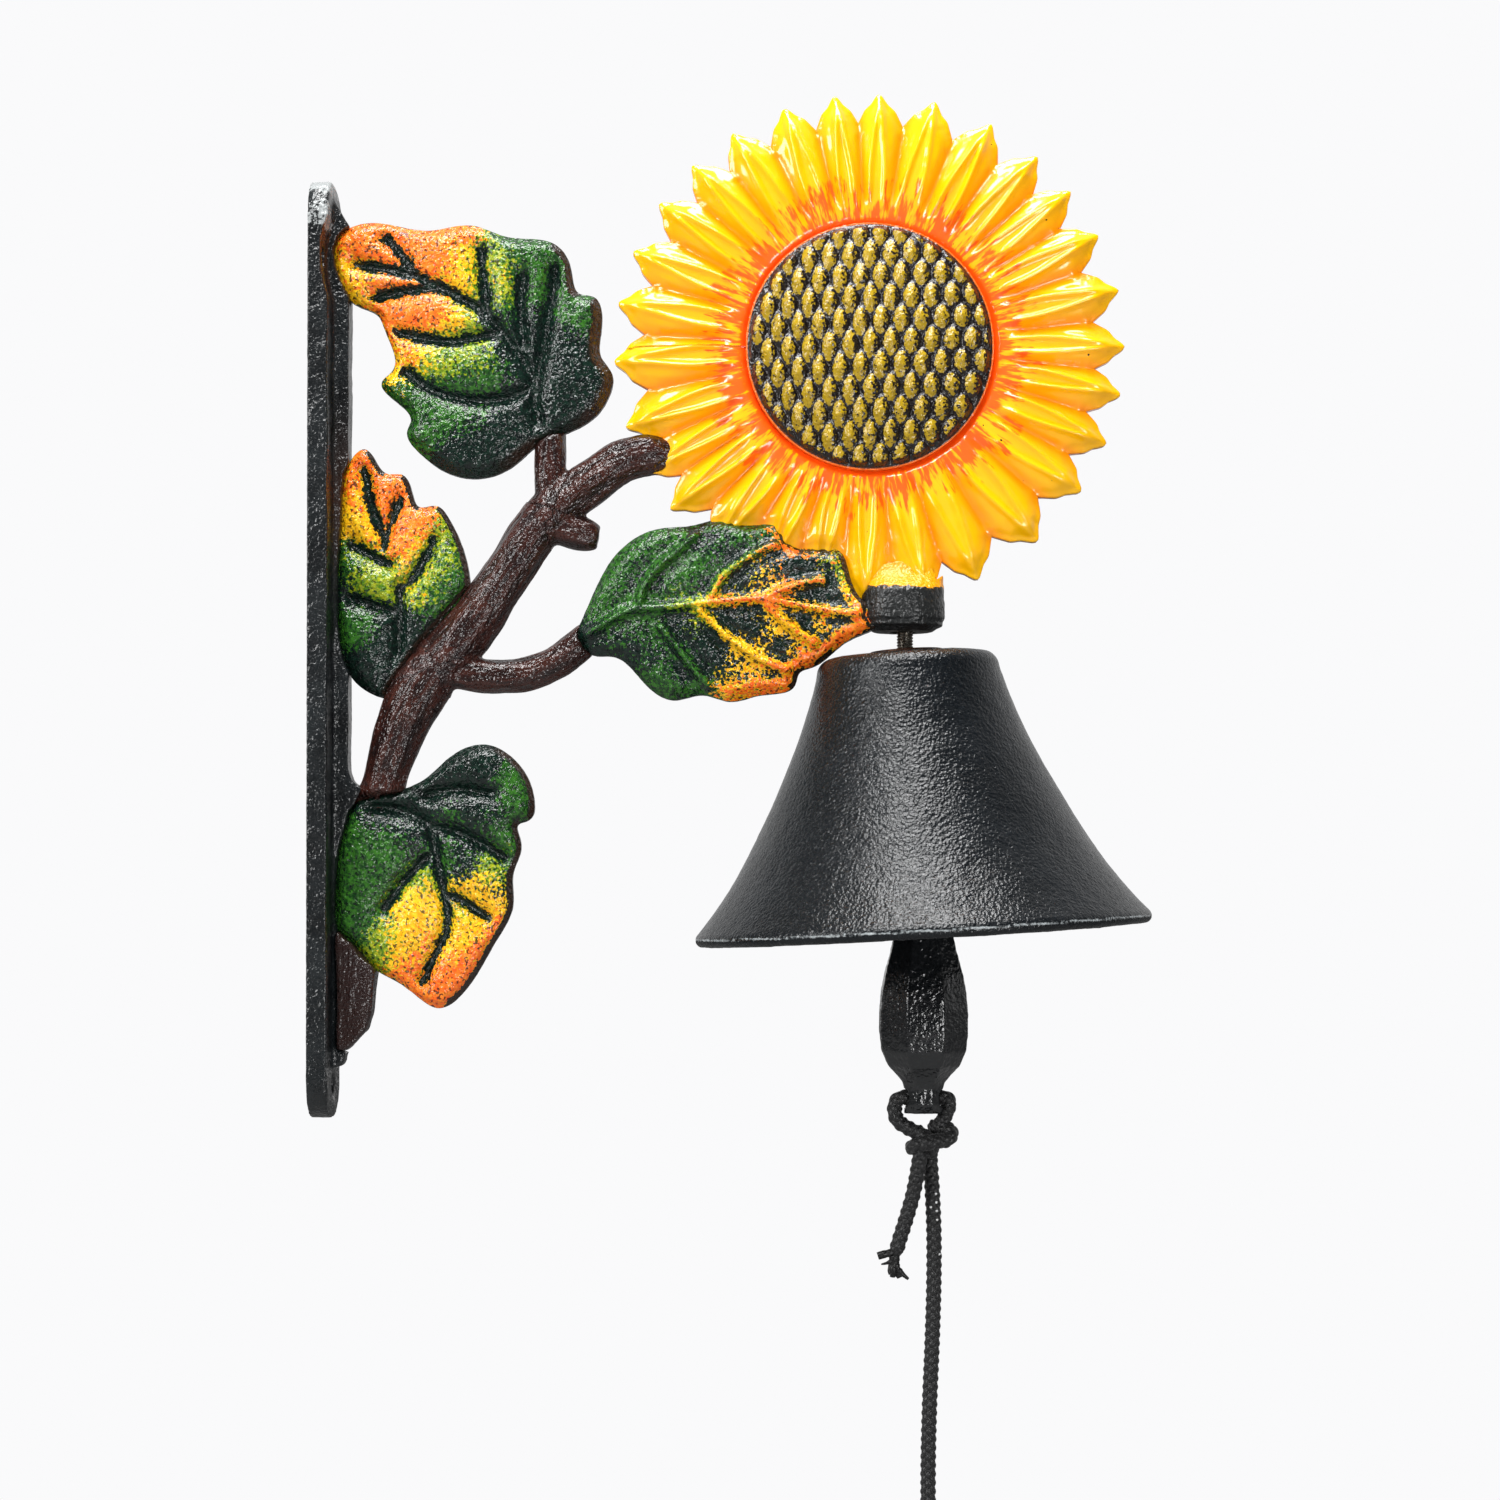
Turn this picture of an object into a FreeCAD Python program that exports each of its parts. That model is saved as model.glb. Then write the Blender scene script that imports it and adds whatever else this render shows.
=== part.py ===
"""Wall-mounted yard dinner bell, in millimetres.

The row frame: the origin is the centre of the wall plate's back face, +X points away from the
wall, +Z is up, and the bracket's middle plane is Y = 0.  The cast bracket is symmetric about
that plane.  Its painted zones are separate sub-parts that meet face to face.
"""
import FreeCAD, Part
import math
import os

Vector = FreeCAD.Vector
doc = FreeCAD.newDocument("dinner_bell")

# ------------------------------------------------------------------ driving dimensions
SIZES = {
    # wall plate
    "plate_tall": 220.0,
    "plate_wide": 24.0,
    "plate_thick": 4.8,
    "plate_corner": 9.0,
    "rib_front": 8.5,
    "rib_wide": 7.0,
    "seat_depth": 1.8,
    "seat_middle": 91.5,
    "seat_span": 19.0,
    "screw_dia": 5.0,
    "top_screw_gap": 14.4,
    "low_screw": -102.5,
    # branch and leaves
    "leaf_thick": 8.5,
    "branch_dia": 11.6,
    "twig_dia": 7.6,
    # sunflower
    "flower_x": 131.2,
    "flower_z": 71.2,
    "petal_tip": 58.6,
    "petal_notch": 51.8,
    "petal_thick": 8.4,
    "seed_dia": 58.4,
    "seed_edge": 4.6,
    "seed_crown": 8.4,
    # hanger boss and hook bolt
    "bolt_x": 139.6,
    "bolt_dia": 4.0,
    "bolt_top": 13.0,
    "boss_dia": 18.8,
    "boss_low": 3.9,
    "hook_bend": 4.3,
    "hook_bottom": -17.3,
    "hook_end": -10.8,
    "nut_flats": 7.0,
    "nut_thick": 3.2,
    "nut_top": -7.0,
    # bell
    "crown_top": -1.2,
    "bell_lean": 3.3,
    "bell_shift": 0.4,
    "bell_tall": 65.8,
    "bell_wall": 3.6,
    "crown_wall": 4.0,
    "bell_hole": 6.4,
    "crown_washer_dia": 17.0,
    "seat_washer_dia": 10.0,
    "washer_hole": 6.0,
    "washer_thick": 1.0,
    # clapper
    "eye_thick": 2.8,
    "eye_wide": 9.0,
    "eye_hole": 5.6,
    "clapper_wide": 20.6,
    "cord_hole": 5.2,
    "cord_hole_z": -105.6,
    "tab_wide": 9.0,
    # cord
    "cord_dia": 3.6,
}

sheet = doc.addObject("Spreadsheet::Sheet", "sizes")
for row, (alias, value) in enumerate(SIZES.items(), start=1):
    sheet.set(f"A{row}", alias)
    sheet.set(f"B{row}", str(value))
    sheet.setAlias(f"B{row}", alias)
doc.recompute()


def size(alias):
    """A driving dimension, read back from the sheet."""
    return float(getattr(sheet, alias))


# ------------------------------------------------------------------ building blocks
def new_body(name):
    body = doc.addObject("PartDesign::Body", name + "_body")
    body.Label = name
    return body


def new_sketch(body, role, name, geometry, offset=Vector(0, 0, 0)):
    """A sketch on one of the body's own origin planes, holding the given curves."""
    plane = next(f for f in body.Origin.OriginFeatures if f.Role == role)
    sketch = body.newObject("Sketcher::SketchObject", name)
    sketch.AttachmentSupport = [(plane, "")]
    sketch.MapMode = "FlatFace"
    sketch.AttachmentOffset = FreeCAD.Placement(offset, FreeCAD.Rotation())
    for curve in geometry:
        sketch.addGeometry(curve, False)
    return sketch


def polygon(points):
    """The straight sides of a closed outline given as (across, up) pairs."""
    corners = [Vector(a, b, 0) for a, b in points]
    return [Part.LineSegment(p, q) for p, q in zip(corners, corners[1:] + corners[:1])]


def closed_spline(points):
    """One smooth closed curve through (across, up) pairs."""
    curve = Part.BSplineCurve()
    curve.interpolate(Points=[Vector(a, b, 0) for a, b in points], PeriodicFlag=True)
    return [curve]


def circle(radius, across=0.0, up=0.0):
    return [Part.Circle(Vector(across, up, 0), Vector(0, 0, 1), radius)]


def middle_slab(name, geometry, thickness):
    """A slab of the middle plane: an X-Z outline padded equally to both sides."""
    body = new_body(name)
    sketch = new_sketch(body, "XZ_Plane", name + "_outline", geometry)
    pad = body.newObject("PartDesign::Pad", name + "_pad")
    pad.Profile = sketch
    pad.SideType = "Symmetric"
    pad.setExpression("Length", thickness)
    return body


def turned(name, profile, placement=None):
    """A body of revolution about its own Z axis, from a closed (radius, height) outline."""
    body = new_body(name)
    sketch = new_sketch(body, "XZ_Plane", name + "_profile", profile)
    turn = body.newObject("PartDesign::Revolution", name + "_turn")
    turn.Profile = sketch
    turn.ReferenceAxis = (sketch, ["V_Axis"])
    turn.Angle = 360
    if placement:
        body.Placement = placement
    return body


def limb(name, stations, diameter):
    """A tapering round limb through (x, z, share of the diameter) stations."""
    path = [Vector(x, 0, z) for x, z, _ in stations]
    rings = []
    for i, (x, z, share) in enumerate(stations):
        along = path[min(i + 1, len(path) - 1)] - path[max(i - 1, 0)]
        ring = doc.addObject("Part::Circle", f"{name}_ring{i}")
        turn = FreeCAD.Rotation(Vector(0, 0, 1), along)
        ring.Placement = FreeCAD.Placement(path[i], turn)
        ring.setExpression("Radius", f"{diameter} / 2 * {share}")
        rings.append(ring)
    loft = doc.addObject("Part::Loft", name + "_loft")
    loft.Sections = rings
    loft.Solid = True
    loft.Ruled = False
    return loft


def trimmed(name, base, *tools):
    """The base with every tool cut away."""
    tool = tools[0]
    if len(tools) > 1:
        tool = doc.addObject("Part::MultiFuse", name + "_cutters")
        tool.Shapes = list(tools)
    base.Label = base.Name + "_untrimmed"
    cut = doc.addObject("Part::Cut", name + "_cut")
    cut.Base = base
    cut.Tool = tool
    cut.Label = name
    return cut


# ------------------------------------------------------------------ wall plate
def make_wall_plate():
    """The flat plate, hollowed across its full width where the two top screws sit."""
    plate = doc.addObject("Part::Box", "plate_blank")
    plate.setExpression("Length", "sizes.plate_thick")
    plate.setExpression("Width", "sizes.plate_wide")
    plate.setExpression("Height", "sizes.plate_tall")
    plate.setExpression("Placement.Base.y", "-sizes.plate_wide / 2")
    plate.setExpression("Placement.Base.z", "-sizes.plate_tall / 2")
    doc.recompute()
    rounded = doc.addObject("Part::Fillet", "plate_rounded")
    rounded.Base = plate
    corners = [
        i + 1
        for i, edge in enumerate(plate.Shape.Edges)
        if abs(edge.tangentAt(edge.FirstParameter).x) > 0.99
    ]
    rounded.Edges = [(i, size("plate_corner"), size("plate_corner")) for i in corners]

    hollow = doc.addObject("Part::Cylinder", "seat_hollow")
    half, deep = size("seat_span") / 2, size("seat_depth")
    hollow_radius = (half * half + deep * deep) / (2 * deep)
    hollow.Radius = hollow_radius
    hollow.setExpression("Height", "sizes.plate_wide * 2")
    hollow.Placement = FreeCAD.Placement(
        Vector(
            size("plate_thick") - deep + hollow_radius,
            size("plate_wide"),
            size("seat_middle"),
        ),
        FreeCAD.Rotation(Vector(1, 0, 0), 90),
    )
    drills = [hollow]
    side = size("top_screw_gap") / 2
    for i, (y, z) in enumerate(
        [(-side, size("seat_middle")), (side, size("seat_middle")), (0, size("low_screw"))]
    ):
        drill = doc.addObject("Part::Cylinder", f"screw_drill{i}")
        drill.setExpression("Radius", "sizes.screw_dia / 2")
        drill.setExpression("Height", "sizes.plate_thick * 3")
        drill.Placement = FreeCAD.Placement(
            Vector(-size("plate_thick"), y, z), FreeCAD.Rotation(Vector(0, 1, 0), 90)
        )
        drills.append(drill)
    return trimmed("wall_plate", rounded, *drills)


def make_rib():
    """The plate's middle rib, low under the root stub, with the web that meets the branch."""
    foot, front, back = -98.5, size("rib_front"), size("plate_thick") - size("seat_depth")
    outline = [
        (back, foot),
        (front - 1.2, foot + 0.6),
        (front - 0.4, -94.6),
        (front - 2.6, -94.4),
        (front - 2.6, -62.0),
        (front, -61.0),
        (front, -44.0),
        (12.0, -40.0),
        (11.5, -32.5),
        (front + 0.9, -31.0),
        (front, -28.0),
        (front, 84.0),
        (front + 0.6, 99.0),
        (5.0, 106.0),
        (back, 106.0),
    ]
    return middle_slab("plate_rib", polygon(outline), "sizes.rib_wide")


def make_root_stub():
    back = size("rib_front") - 2.6
    outline = [
        (back, -62.0), (12.0, -64.0), (15.4, -72.0), (14.8, -78.0), (13.8, -86.0),
        (13.0, -89.4), (10.4, -92.2), (8.0, -94.2), (back, -94.4),
    ]
    return middle_slab("root_stub", polygon(outline), "sizes.branch_dia * 0.86")


# ------------------------------------------------------------------ leaves
UPPER_LEAF = [
    (7.4, 99.0), (13.2, 100.7), (27.3, 98.9), (37.3, 100.1), (45.5, 97.4), (56.7, 95.7),
    (60.2, 91.0), (62.8, 83.9), (65.8, 83.3), (67.8, 78.1), (67.8, 68.7), (70.2, 65.1),
    (69.6, 60.4), (66.6, 55.7), (60.2, 51.8), (52.4, 48.4), (47.3, 44.0), (37.9, 40.8),
    (32.0, 42.0), (25.0, 46.9), (22.3, 51.6), (23.2, 54.0), (16.4, 63.4), (18.5, 65.4),
    (17.0, 75.7), (15.2, 79.4), (9.1, 82.5), (7.4, 85.1),
]
MIDDLE_LEAF = [
    (8.8, 44.3), (12.6, 46.9), (17.3, 41.3), (20.8, 41.1), (25.0, 33.4), (29.1, 33.7),
    (31.4, 31.4), (36.7, 15.8), (36.6, 10.0), (29.0, -3.0), (22.0, -11.0), (9.1, -6.2),
    (7.1, -0.9), (6.5, 28.4), (7.1, 40.2),
]
LOWER_LEAF = [
    (8.0, -40.6), (11.1, -35.7), (21.0, -33.2), (26.5, -30.7), (33.9, -24.5), (41.3, -22.7),
    (46.9, -25.8), (51.8, -35.0), (50.6, -40.0), (48.1, -41.0), (48.7, -45.5),
    (46.9, -52.5), (46.9, -59.7), (42.6, -69.0), (35.2, -80.7), (29.6, -84.2),
    (25.3, -81.9), (20.3, -78.2), (14.8, -75.1), (9.3, -69.4), (6.0, -65.9),
    (5.6, -59.7), (6.2, -47.4),
]
FRONT_LEAF = [
    (62.5, 4.6), (66.0, 12.5), (72.6, 23.4), (81.0, 28.2), (89.5, 29.1), (96.7, 30.6),
    (103.3, 29.4), (109.3, 29.1), (111.7, 25.8), (117.8, 24.0), (123.8, 23.1),
    (126.2, 17.3), (129.2, 11.3), (133.4, 6.5), (127.0, 2.8), (121.6, -1.2),
    (117.4, -3.9), (114.4, -5.3), (113.5, -8.0), (105.7, -10.4), (97.9, -11.9), (91.9, -10.4),
    (85.2, -11.6), (78.6, -8.0), (70.8, -1.3), (65.0, -0.6),
]

# ------------------------------------------------------------------ branch
# (x, z, share of the diameter) along each limb's middle line
MAIN_BRANCH = [
    (14.0, -44.0, 0.84), (15.9, -33.8, 0.92), (18.4, -25.0, 0.93), (22.8, -13.5, 1.12),
    (28.8, -4.5, 1.14), (36.6, 5.0, 1.08), (44.0, 15.5, 0.94), (50.4, 25.2, 0.98),
    (57.0, 33.4, 1.0), (64.9, 39.2, 0.92), (72.5, 44.4, 0.88), (79.0, 46.3, 0.84),
    (83.0, 46.0, 0.5),
]
FRONT_TWIG = [
    (24.0, -3.0, 1.0), (34.3, -5.4, 1.08), (45.4, -6.3, 1.06), (56.0, -3.4, 1.0),
    (63.7, 2.0, 0.98), (72.0, 6.5, 0.9),
]
UPPER_TWIG = [(57.0, 32.0, 1.0), (55.7, 41.0, 1.0), (56.0, 50.0, 0.98), (55.0, 60.0, 0.9)]
BRANCH_KNOB = [(56.0, 29.4, 1.1), (60.5, 28.3, 1.16), (64.5, 27.2, 1.08), (67.2, 26.7, 0.72)]

# ------------------------------------------------------------------ sunflower
# The direction of each petal's tip, in degrees up from +X about the flower's middle
PETAL_TIPS = [
    0.3, 13.2, 26.3, 38.0, 48.8, 61.5, 75.1, 87.8, 97.8, 109.5, 122.5, 134.0, 145.4,
    157.8, 169.8, 183.0, 198.0, 209.0, 219.0, 232.0, 245.0, 257.0, 269.0, 282.5, 295.0,
    311.0, 326.0, 338.0, 349.5,
]


def petal_outline():
    """Notch, shoulder, tip and shoulder for every petal, round the flower's middle."""
    tip, notch = size("petal_tip"), size("petal_notch")
    shoulder = notch + (tip - notch) * 0.62
    points = []
    for i, angle in enumerate(PETAL_TIPS):
        following = PETAL_TIPS[(i + 1) % len(PETAL_TIPS)] + (360 if i + 1 == len(PETAL_TIPS) else 0)
        step = following - angle
        valley = angle + step * 0.5
        for radius, bearing in (
            (tip, angle),
            (shoulder, angle + step * 0.27),
            (notch, valley),
            (shoulder, following - step * 0.27),
        ):
            turn = math.radians(bearing)
            points.append(
                (
                    size("flower_x") + radius * math.cos(turn),
                    size("flower_z") + radius * math.sin(turn),
                )
            )
    return points


def make_petal_ring():
    hole = circle(size("seed_dia") / 2, size("flower_x"), size("flower_z"))
    return middle_slab("petal_ring", polygon(petal_outline()) + hole, "sizes.petal_thick")


def make_seed_head():
    """A lens-shaped disc, domed on both faces, that fills the ring of petals."""
    edge, crown, radius = size("seed_edge"), size("seed_crown"), size("seed_dia") / 2
    rise = crown - edge
    sphere = (radius * radius + rise * rise) / (2 * rise)
    part_way = radius * 0.55
    shoulder = crown - sphere + math.sqrt(sphere * sphere - part_way * part_way)

    def dome(side):
        rim, top = Vector(radius, side * edge, 0), Vector(0, side * crown, 0)
        return Part.Arc(rim, Vector(part_way, side * shoulder, 0), top)

    profile = [
        dome(1),
        Part.LineSegment(Vector(0, crown, 0), Vector(0, -crown, 0)),
        dome(-1),
        Part.LineSegment(Vector(radius, -edge, 0), Vector(radius, edge, 0)),
    ]
    place = FreeCAD.Placement(
        Vector(size("flower_x"), 0, size("flower_z")), FreeCAD.Rotation(Vector(1, 0, 0), 90)
    )
    return turned("seed_head", profile, place)


# ------------------------------------------------------------------ hanger boss and bolt
def make_boss():
    """The round lug under the flower, drilled for the hook bolt, rising into the petals."""
    low, wide = size("boss_low"), size("boss_dia") / 2
    outline = [
        (0, low), (wide * 0.5, low + 0.4), (wide * 0.86, low + 1.7), (wide, low + 3.4),
        (wide, low + 7.0), (wide * 0.9, low + 11.0), (wide * 0.7, low + 15.0),
        (wide * 0.35, low + 17.6), (0, low + 18.4),
    ]
    place = FreeCAD.Placement(Vector(size("bolt_x"), 0, 0), FreeCAD.Rotation())
    return turned("hanger_boss", polygon(outline), place)


def bolt_drill():
    drill = doc.addObject("Part::Cylinder", "bolt_drill")
    drill.setExpression("Radius", "sizes.bolt_dia / 2")
    drill.setExpression("Height", "sizes.bolt_top")
    drill.setExpression("Placement.Base.x", "sizes.bolt_x")
    return drill


def make_hook_bolt():
    """A round rod, straight down through the boss and the bell, then bent into a J."""
    body = new_body("hook_bolt")
    x, bend = size("bolt_x"), size("hook_bend")
    turn = size("hook_bottom") + bend
    start, low = Vector(x, size("bolt_top"), 0), Vector(x, turn, 0)
    far = Vector(x + 2 * bend, turn, 0)
    path = new_sketch(
        body,
        "XZ_Plane",
        "hook_path",
        [
            Part.LineSegment(start, low),
            Part.Arc(low, Vector(x + bend, turn - bend, 0), far),
            Part.LineSegment(far, Vector(x + 2 * bend, size("hook_end"), 0)),
        ],
    )
    section = new_sketch(
        body,
        "XY_Plane",
        "rod_section",
        circle(size("bolt_dia") / 2, x, 0),
        Vector(0, 0, size("bolt_top")),
    )
    rod = body.newObject("PartDesign::AdditivePipe", "hook_rod")
    rod.Profile = section
    rod.Spine = path
    return body


def make_nut():
    """The hexagon nut that carries the bell, threaded on the bolt inside the crown."""
    body = new_body("seat_nut")
    corner = size("nut_flats") / math.sqrt(3)
    hexagon = [
        (corner * math.cos(math.radians(60 * i)), corner * math.sin(math.radians(60 * i)))
        for i in range(6)
    ]
    sketch = new_sketch(
        body, "XY_Plane", "nut_outline", polygon(hexagon) + circle(size("bolt_dia") / 2)
    )
    pad = body.newObject("PartDesign::Pad", "nut_pad")
    pad.Profile = sketch
    pad.setExpression("Length", "sizes.nut_thick")
    body.Placement.Base = Vector(size("bolt_x"), 0, size("nut_top") - size("nut_thick"))
    return body


# ------------------------------------------------------------------ bell
def bell_place(down=0.0):
    """The leaning bell's frame: its own Z axis, a distance down from the top of the crown."""
    lean = FreeCAD.Rotation(Vector(0, 1, 0), -size("bell_lean"))
    top = Vector(size("bolt_x") + size("bell_shift"), 0, size("crown_top"))
    return FreeCAD.Placement(top + lean.multVec(Vector(0, 0, -down)), lean)


BELL_SIDE = [
    # share of the height down from the crown, outer radius
    (0.06, 21.6), (0.33, 28.0), (0.54, 34.8), (0.73, 41.8), (0.87, 48.2), (0.965, 53.4),
]


def make_bell():
    """A flared shell with a flat crown, a rounded lip and a hole for the bolt."""
    tall, wall, crown = size("bell_tall"), size("bell_wall"), size("crown_wall")
    hole = size("bell_hole") / 2
    outer = [Vector(r, -tall * share, 0) for share, r in BELL_SIDE]
    inner = []
    for i, point in enumerate(outer):
        along = outer[min(i + 1, len(outer) - 1)] - outer[max(i - 1, 0)]
        inward = Vector(along.y, -along.x, 0).normalize()
        inner.append(point + inward * wall)
    inner[0] = Vector(inner[0].x + 0.4, -crown - 2.4, 0)

    def side(points):
        curve = Part.BSplineCurve()
        curve.interpolate(Points=points)
        return curve

    top_edge = Vector(18.6, 0, 0)
    inner_top = Vector(inner[0].x - 1.8, -crown, 0)
    lip = Part.Arc(
        outer[-1], Vector(outer[-1].x - wall * 0.1, -tall, 0), inner[-1] + Vector(0.2, 0, 0)
    )
    profile = [
        Part.LineSegment(Vector(hole, 0, 0), top_edge),
        Part.Arc(top_edge, Vector(20.6, -1.2, 0), outer[0]),
        side(outer),
        lip,
        Part.LineSegment(inner[-1] + Vector(0.2, 0, 0), inner[-1]),
        side(inner[::-1]),
        Part.Arc(inner[0], Vector(inner[0].x - 0.5, -crown - 0.7, 0), inner_top),
        Part.LineSegment(inner_top, Vector(hole, -crown, 0)),
        Part.LineSegment(Vector(hole, -crown, 0), Vector(hole, 0, 0)),
    ]
    return turned("bell", profile, bell_place())


def make_washer(name, diameter, down):
    """A flat ring square to the leaning bell, its upper face that far down from the crown."""
    body = new_body(name)
    sketch = new_sketch(
        body, "XY_Plane", name + "_ring", circle(diameter / 2) + circle(size("washer_hole") / 2)
    )
    pad = body.newObject("PartDesign::Pad", name + "_pad")
    pad.Profile = sketch
    pad.setExpression("Length", "sizes.washer_thick")
    pad.Reversed = True
    body.Placement = bell_place(down)
    return body


# ------------------------------------------------------------------ clapper
# (height, half width) down the striker, from the foot of its eye to the top of its tab
STRIKER = [
    (-32.0, 4.0), (-50.0, 5.4), (-67.5, 6.9), (-72.0, 7.9), (-76.0, 9.0), (-80.0, 9.8),
    (-85.0, 10.25), (-90.0, 10.3), (-94.5, 9.8), (-98.0, 8.3), (-100.5, 6.0), (-102.0, 4.8),
]


def make_clapper():
    """An eight-sided striker with an eye for the hook above and a drilled tab below."""
    body = new_body("clapper")
    eye_x, eye_y, tab = size("eye_thick") / 2, size("eye_wide") / 2, size("tab_wide") / 2
    pivot, hole_z = size("hook_bottom"), size("cord_hole_z")
    stations = [(-21.8, eye_x, eye_y)]
    stations += [(z, half, max(half, eye_y + (half - eye_x) * 0.2)) for z, half in STRIKER]
    stations += [(hole_z + 2.0, tab, tab), (hole_z - 1.6, tab, tab), (hole_z - 3.6, tab, tab - 1.5)]
    facet = math.tan(math.radians(22.5))
    sections = []
    for i, (z, a, b) in enumerate(stations):
        octagon = [
            (a, -b * facet), (a, b * facet), (a * facet, b), (-a * facet, b),
            (-a, b * facet), (-a, -b * facet), (-a * facet, -b), (a * facet, -b),
        ]
        sections.append(
            new_sketch(body, "XY_Plane", f"striker_{i}", polygon(octagon), Vector(0, 0, z))
        )
    loft = body.newObject("PartDesign::AdditiveLoft", "striker_loft")
    loft.Profile = sections[0]
    loft.Sections = sections[1:]
    loft.Ruled = True

    foot, top = -26.0, Vector(0, pivot + eye_y, 0)
    left, right = Vector(-eye_y, pivot, 0), Vector(eye_y, pivot, 0)
    eye_outline = [
        Part.Arc(left, top, right),
        Part.LineSegment(right, Vector(eye_y, foot, 0)),
        Part.LineSegment(Vector(eye_y, foot, 0), Vector(-eye_y, foot, 0)),
        Part.LineSegment(Vector(-eye_y, foot, 0), left),
    ]
    eye = body.newObject("PartDesign::Pad", "eye_pad")
    eye.Profile = new_sketch(body, "YZ_Plane", "eye_outline", eye_outline)
    eye.SideType = "Symmetric"
    eye.setExpression("Length", "sizes.eye_thick")

    for name, radius, z in (
        ("eye_hole", size("eye_hole") / 2, pivot),
        ("tab_hole", size("cord_hole") / 2, hole_z),
    ):
        doc.recompute()
        hole = body.newObject("PartDesign::Pocket", name)
        hole.Profile = new_sketch(body, "YZ_Plane", name + "_circle", circle(radius, 0, z))
        hole.SideType = "Symmetric"
        hole.setExpression("Length", "sizes.clapper_wide * 2")
    body.Placement.Base.x = size("bolt_x") + size("hook_bend")
    return body


# ------------------------------------------------------------------ pull cord
# (x, z) of each cord's route; the middle of the striker's hook is at x = 143.9
LOOP_ROUTE = [
    (141.2, -114.4), (137.2, -111.0), (137.2, -105.6), (150.6, -105.6), (150.6, -111.0),
    (146.6, -114.4),
]
TAIL_ROUTE = [
    (143.2, -117.4), (142.0, -126.0), (139.7, -134.0), (137.4, -141.0), (136.2, -146.6),
]
PULL_ROUTE = [
    (145.3, -117.4), (146.3, -130.0), (146.5, -146.0), (146.0, -163.0), (145.2, -180.0),
    (144.9, -198.0), (145.2, -217.0), (145.9, -235.0), (147.0, -253.0), (148.4, -268.0),
]
TAIL_PLANE, PULL_PLANE = -1.7, 1.1
ARC_SHARE = 0.45


def rounded_route(name, route):
    """Straight runs joined by tangent arcs, each as large as its two runs allow."""
    points = [Vector(x, z, 0) for x, z in route]
    pieces, radii, start = [], [], points[0]
    for before, corner, after in zip(points, points[1:], points[2:]):
        incoming, outgoing = corner - before, after - corner
        turn = incoming.getAngle(outgoing)
        reach = ARC_SHARE * min(incoming.Length, outgoing.Length)
        radius = reach / math.tan(turn / 2)
        radii.append(round(radius, 1))
        leave = corner - incoming.normalize() * reach
        join = corner + outgoing.normalize() * reach
        inward = (leave + join) * 0.5 - corner
        crown = radius / math.cos(turn / 2) - radius
        middle = corner + inward.normalize() * crown
        pieces.append(Part.LineSegment(start, leave))
        pieces.append(Part.Arc(leave, middle, join))
        start = join
    pieces.append(Part.LineSegment(start, points[-1]))
    length = sum(piece.length() for piece in pieces)
    print(f"{name}: {length:.1f} mm long, arc radii {radii}")
    return pieces, length


def make_cord(name, route, plane):
    """A plain round tube along a route in the plane y = plane."""
    body = new_body(name)
    lift = Vector(0, 0, -plane)
    pieces, length = rounded_route(name, route)
    path = new_sketch(body, "XZ_Plane", name + "_route", pieces, lift)
    (x0, z0), (x1, z1) = route[:2]
    section = body.newObject("Sketcher::SketchObject", name + "_section")
    section.Placement = FreeCAD.Placement(
        Vector(x0, plane, z0), FreeCAD.Rotation(Vector(0, 0, 1), Vector(x1 - x0, 0, z1 - z0))
    )
    section.addGeometry(circle(size("cord_dia") / 2)[0], False)
    tube = body.newObject("PartDesign::AdditivePipe", name + "_tube")
    tube.Profile = section
    tube.Spine = path
    doc.recompute()
    expected = math.pi * (size("cord_dia") / 2) ** 2 * length
    print(f"{name}: volume {body.Shape.Volume:.1f}, section times length {expected:.1f}")
    return body


def make_knot(name, middle, radii):
    """The outer shape of a pulled-up knot."""
    knot = doc.addObject("Part::Ellipsoid", name)
    knot.Radius1, knot.Radius2, knot.Radius3 = radii[2], radii[0], radii[1]
    knot.Placement.Base = Vector(*middle)
    knot.Label = name
    return knot


# ------------------------------------------------------------------ the assembly
def make_bracket():
    """The painted zones of the one casting; each border is a shared face."""
    lower = middle_slab("lower_leaf", closed_spline(LOWER_LEAF), "sizes.leaf_thick * 1.2")
    upper = middle_slab("upper_leaf", closed_spline(UPPER_LEAF), "sizes.leaf_thick")
    middle = middle_slab("middle_leaf", closed_spline(MIDDLE_LEAF), "sizes.leaf_thick")
    front = middle_slab("front_leaf", closed_spline(FRONT_LEAF), "sizes.leaf_thick")
    branch = limb("main_branch", MAIN_BRANCH, "sizes.branch_dia")
    front_twig = limb("front_twig", FRONT_TWIG, "sizes.twig_dia")
    upper_twig = limb("upper_twig", UPPER_TWIG, "sizes.twig_dia")
    knob = limb("branch_knob", BRANCH_KNOB, "sizes.twig_dia")
    ring, boss, stub = make_petal_ring(), make_boss(), make_root_stub()
    plate = make_wall_plate()
    rib = make_rib()
    doc.recompute()

    seeds = make_seed_head()
    petals = trimmed("petal_ring", ring, front, branch)
    boss_cut = trimmed("hanger_boss", boss, petals, bolt_drill())
    middle_cut = trimmed("middle_leaf", middle, branch)
    rib_cut = trimmed("plate_rib", rib, plate, upper, middle, lower, branch, stub)
    return [
        plate,
        rib_cut,
        trimmed("root_stub", stub, lower),
        trimmed("main_branch", branch, lower),
        trimmed("branch_knob", knob, branch),
        trimmed("upper_twig", upper_twig, branch, upper),
        trimmed("front_twig", front_twig, branch, front, middle),
        upper,
        middle_cut,
        lower,
        trimmed("front_leaf", front, boss_cut),
        petals,
        seeds,
        boss_cut,
    ]


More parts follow.
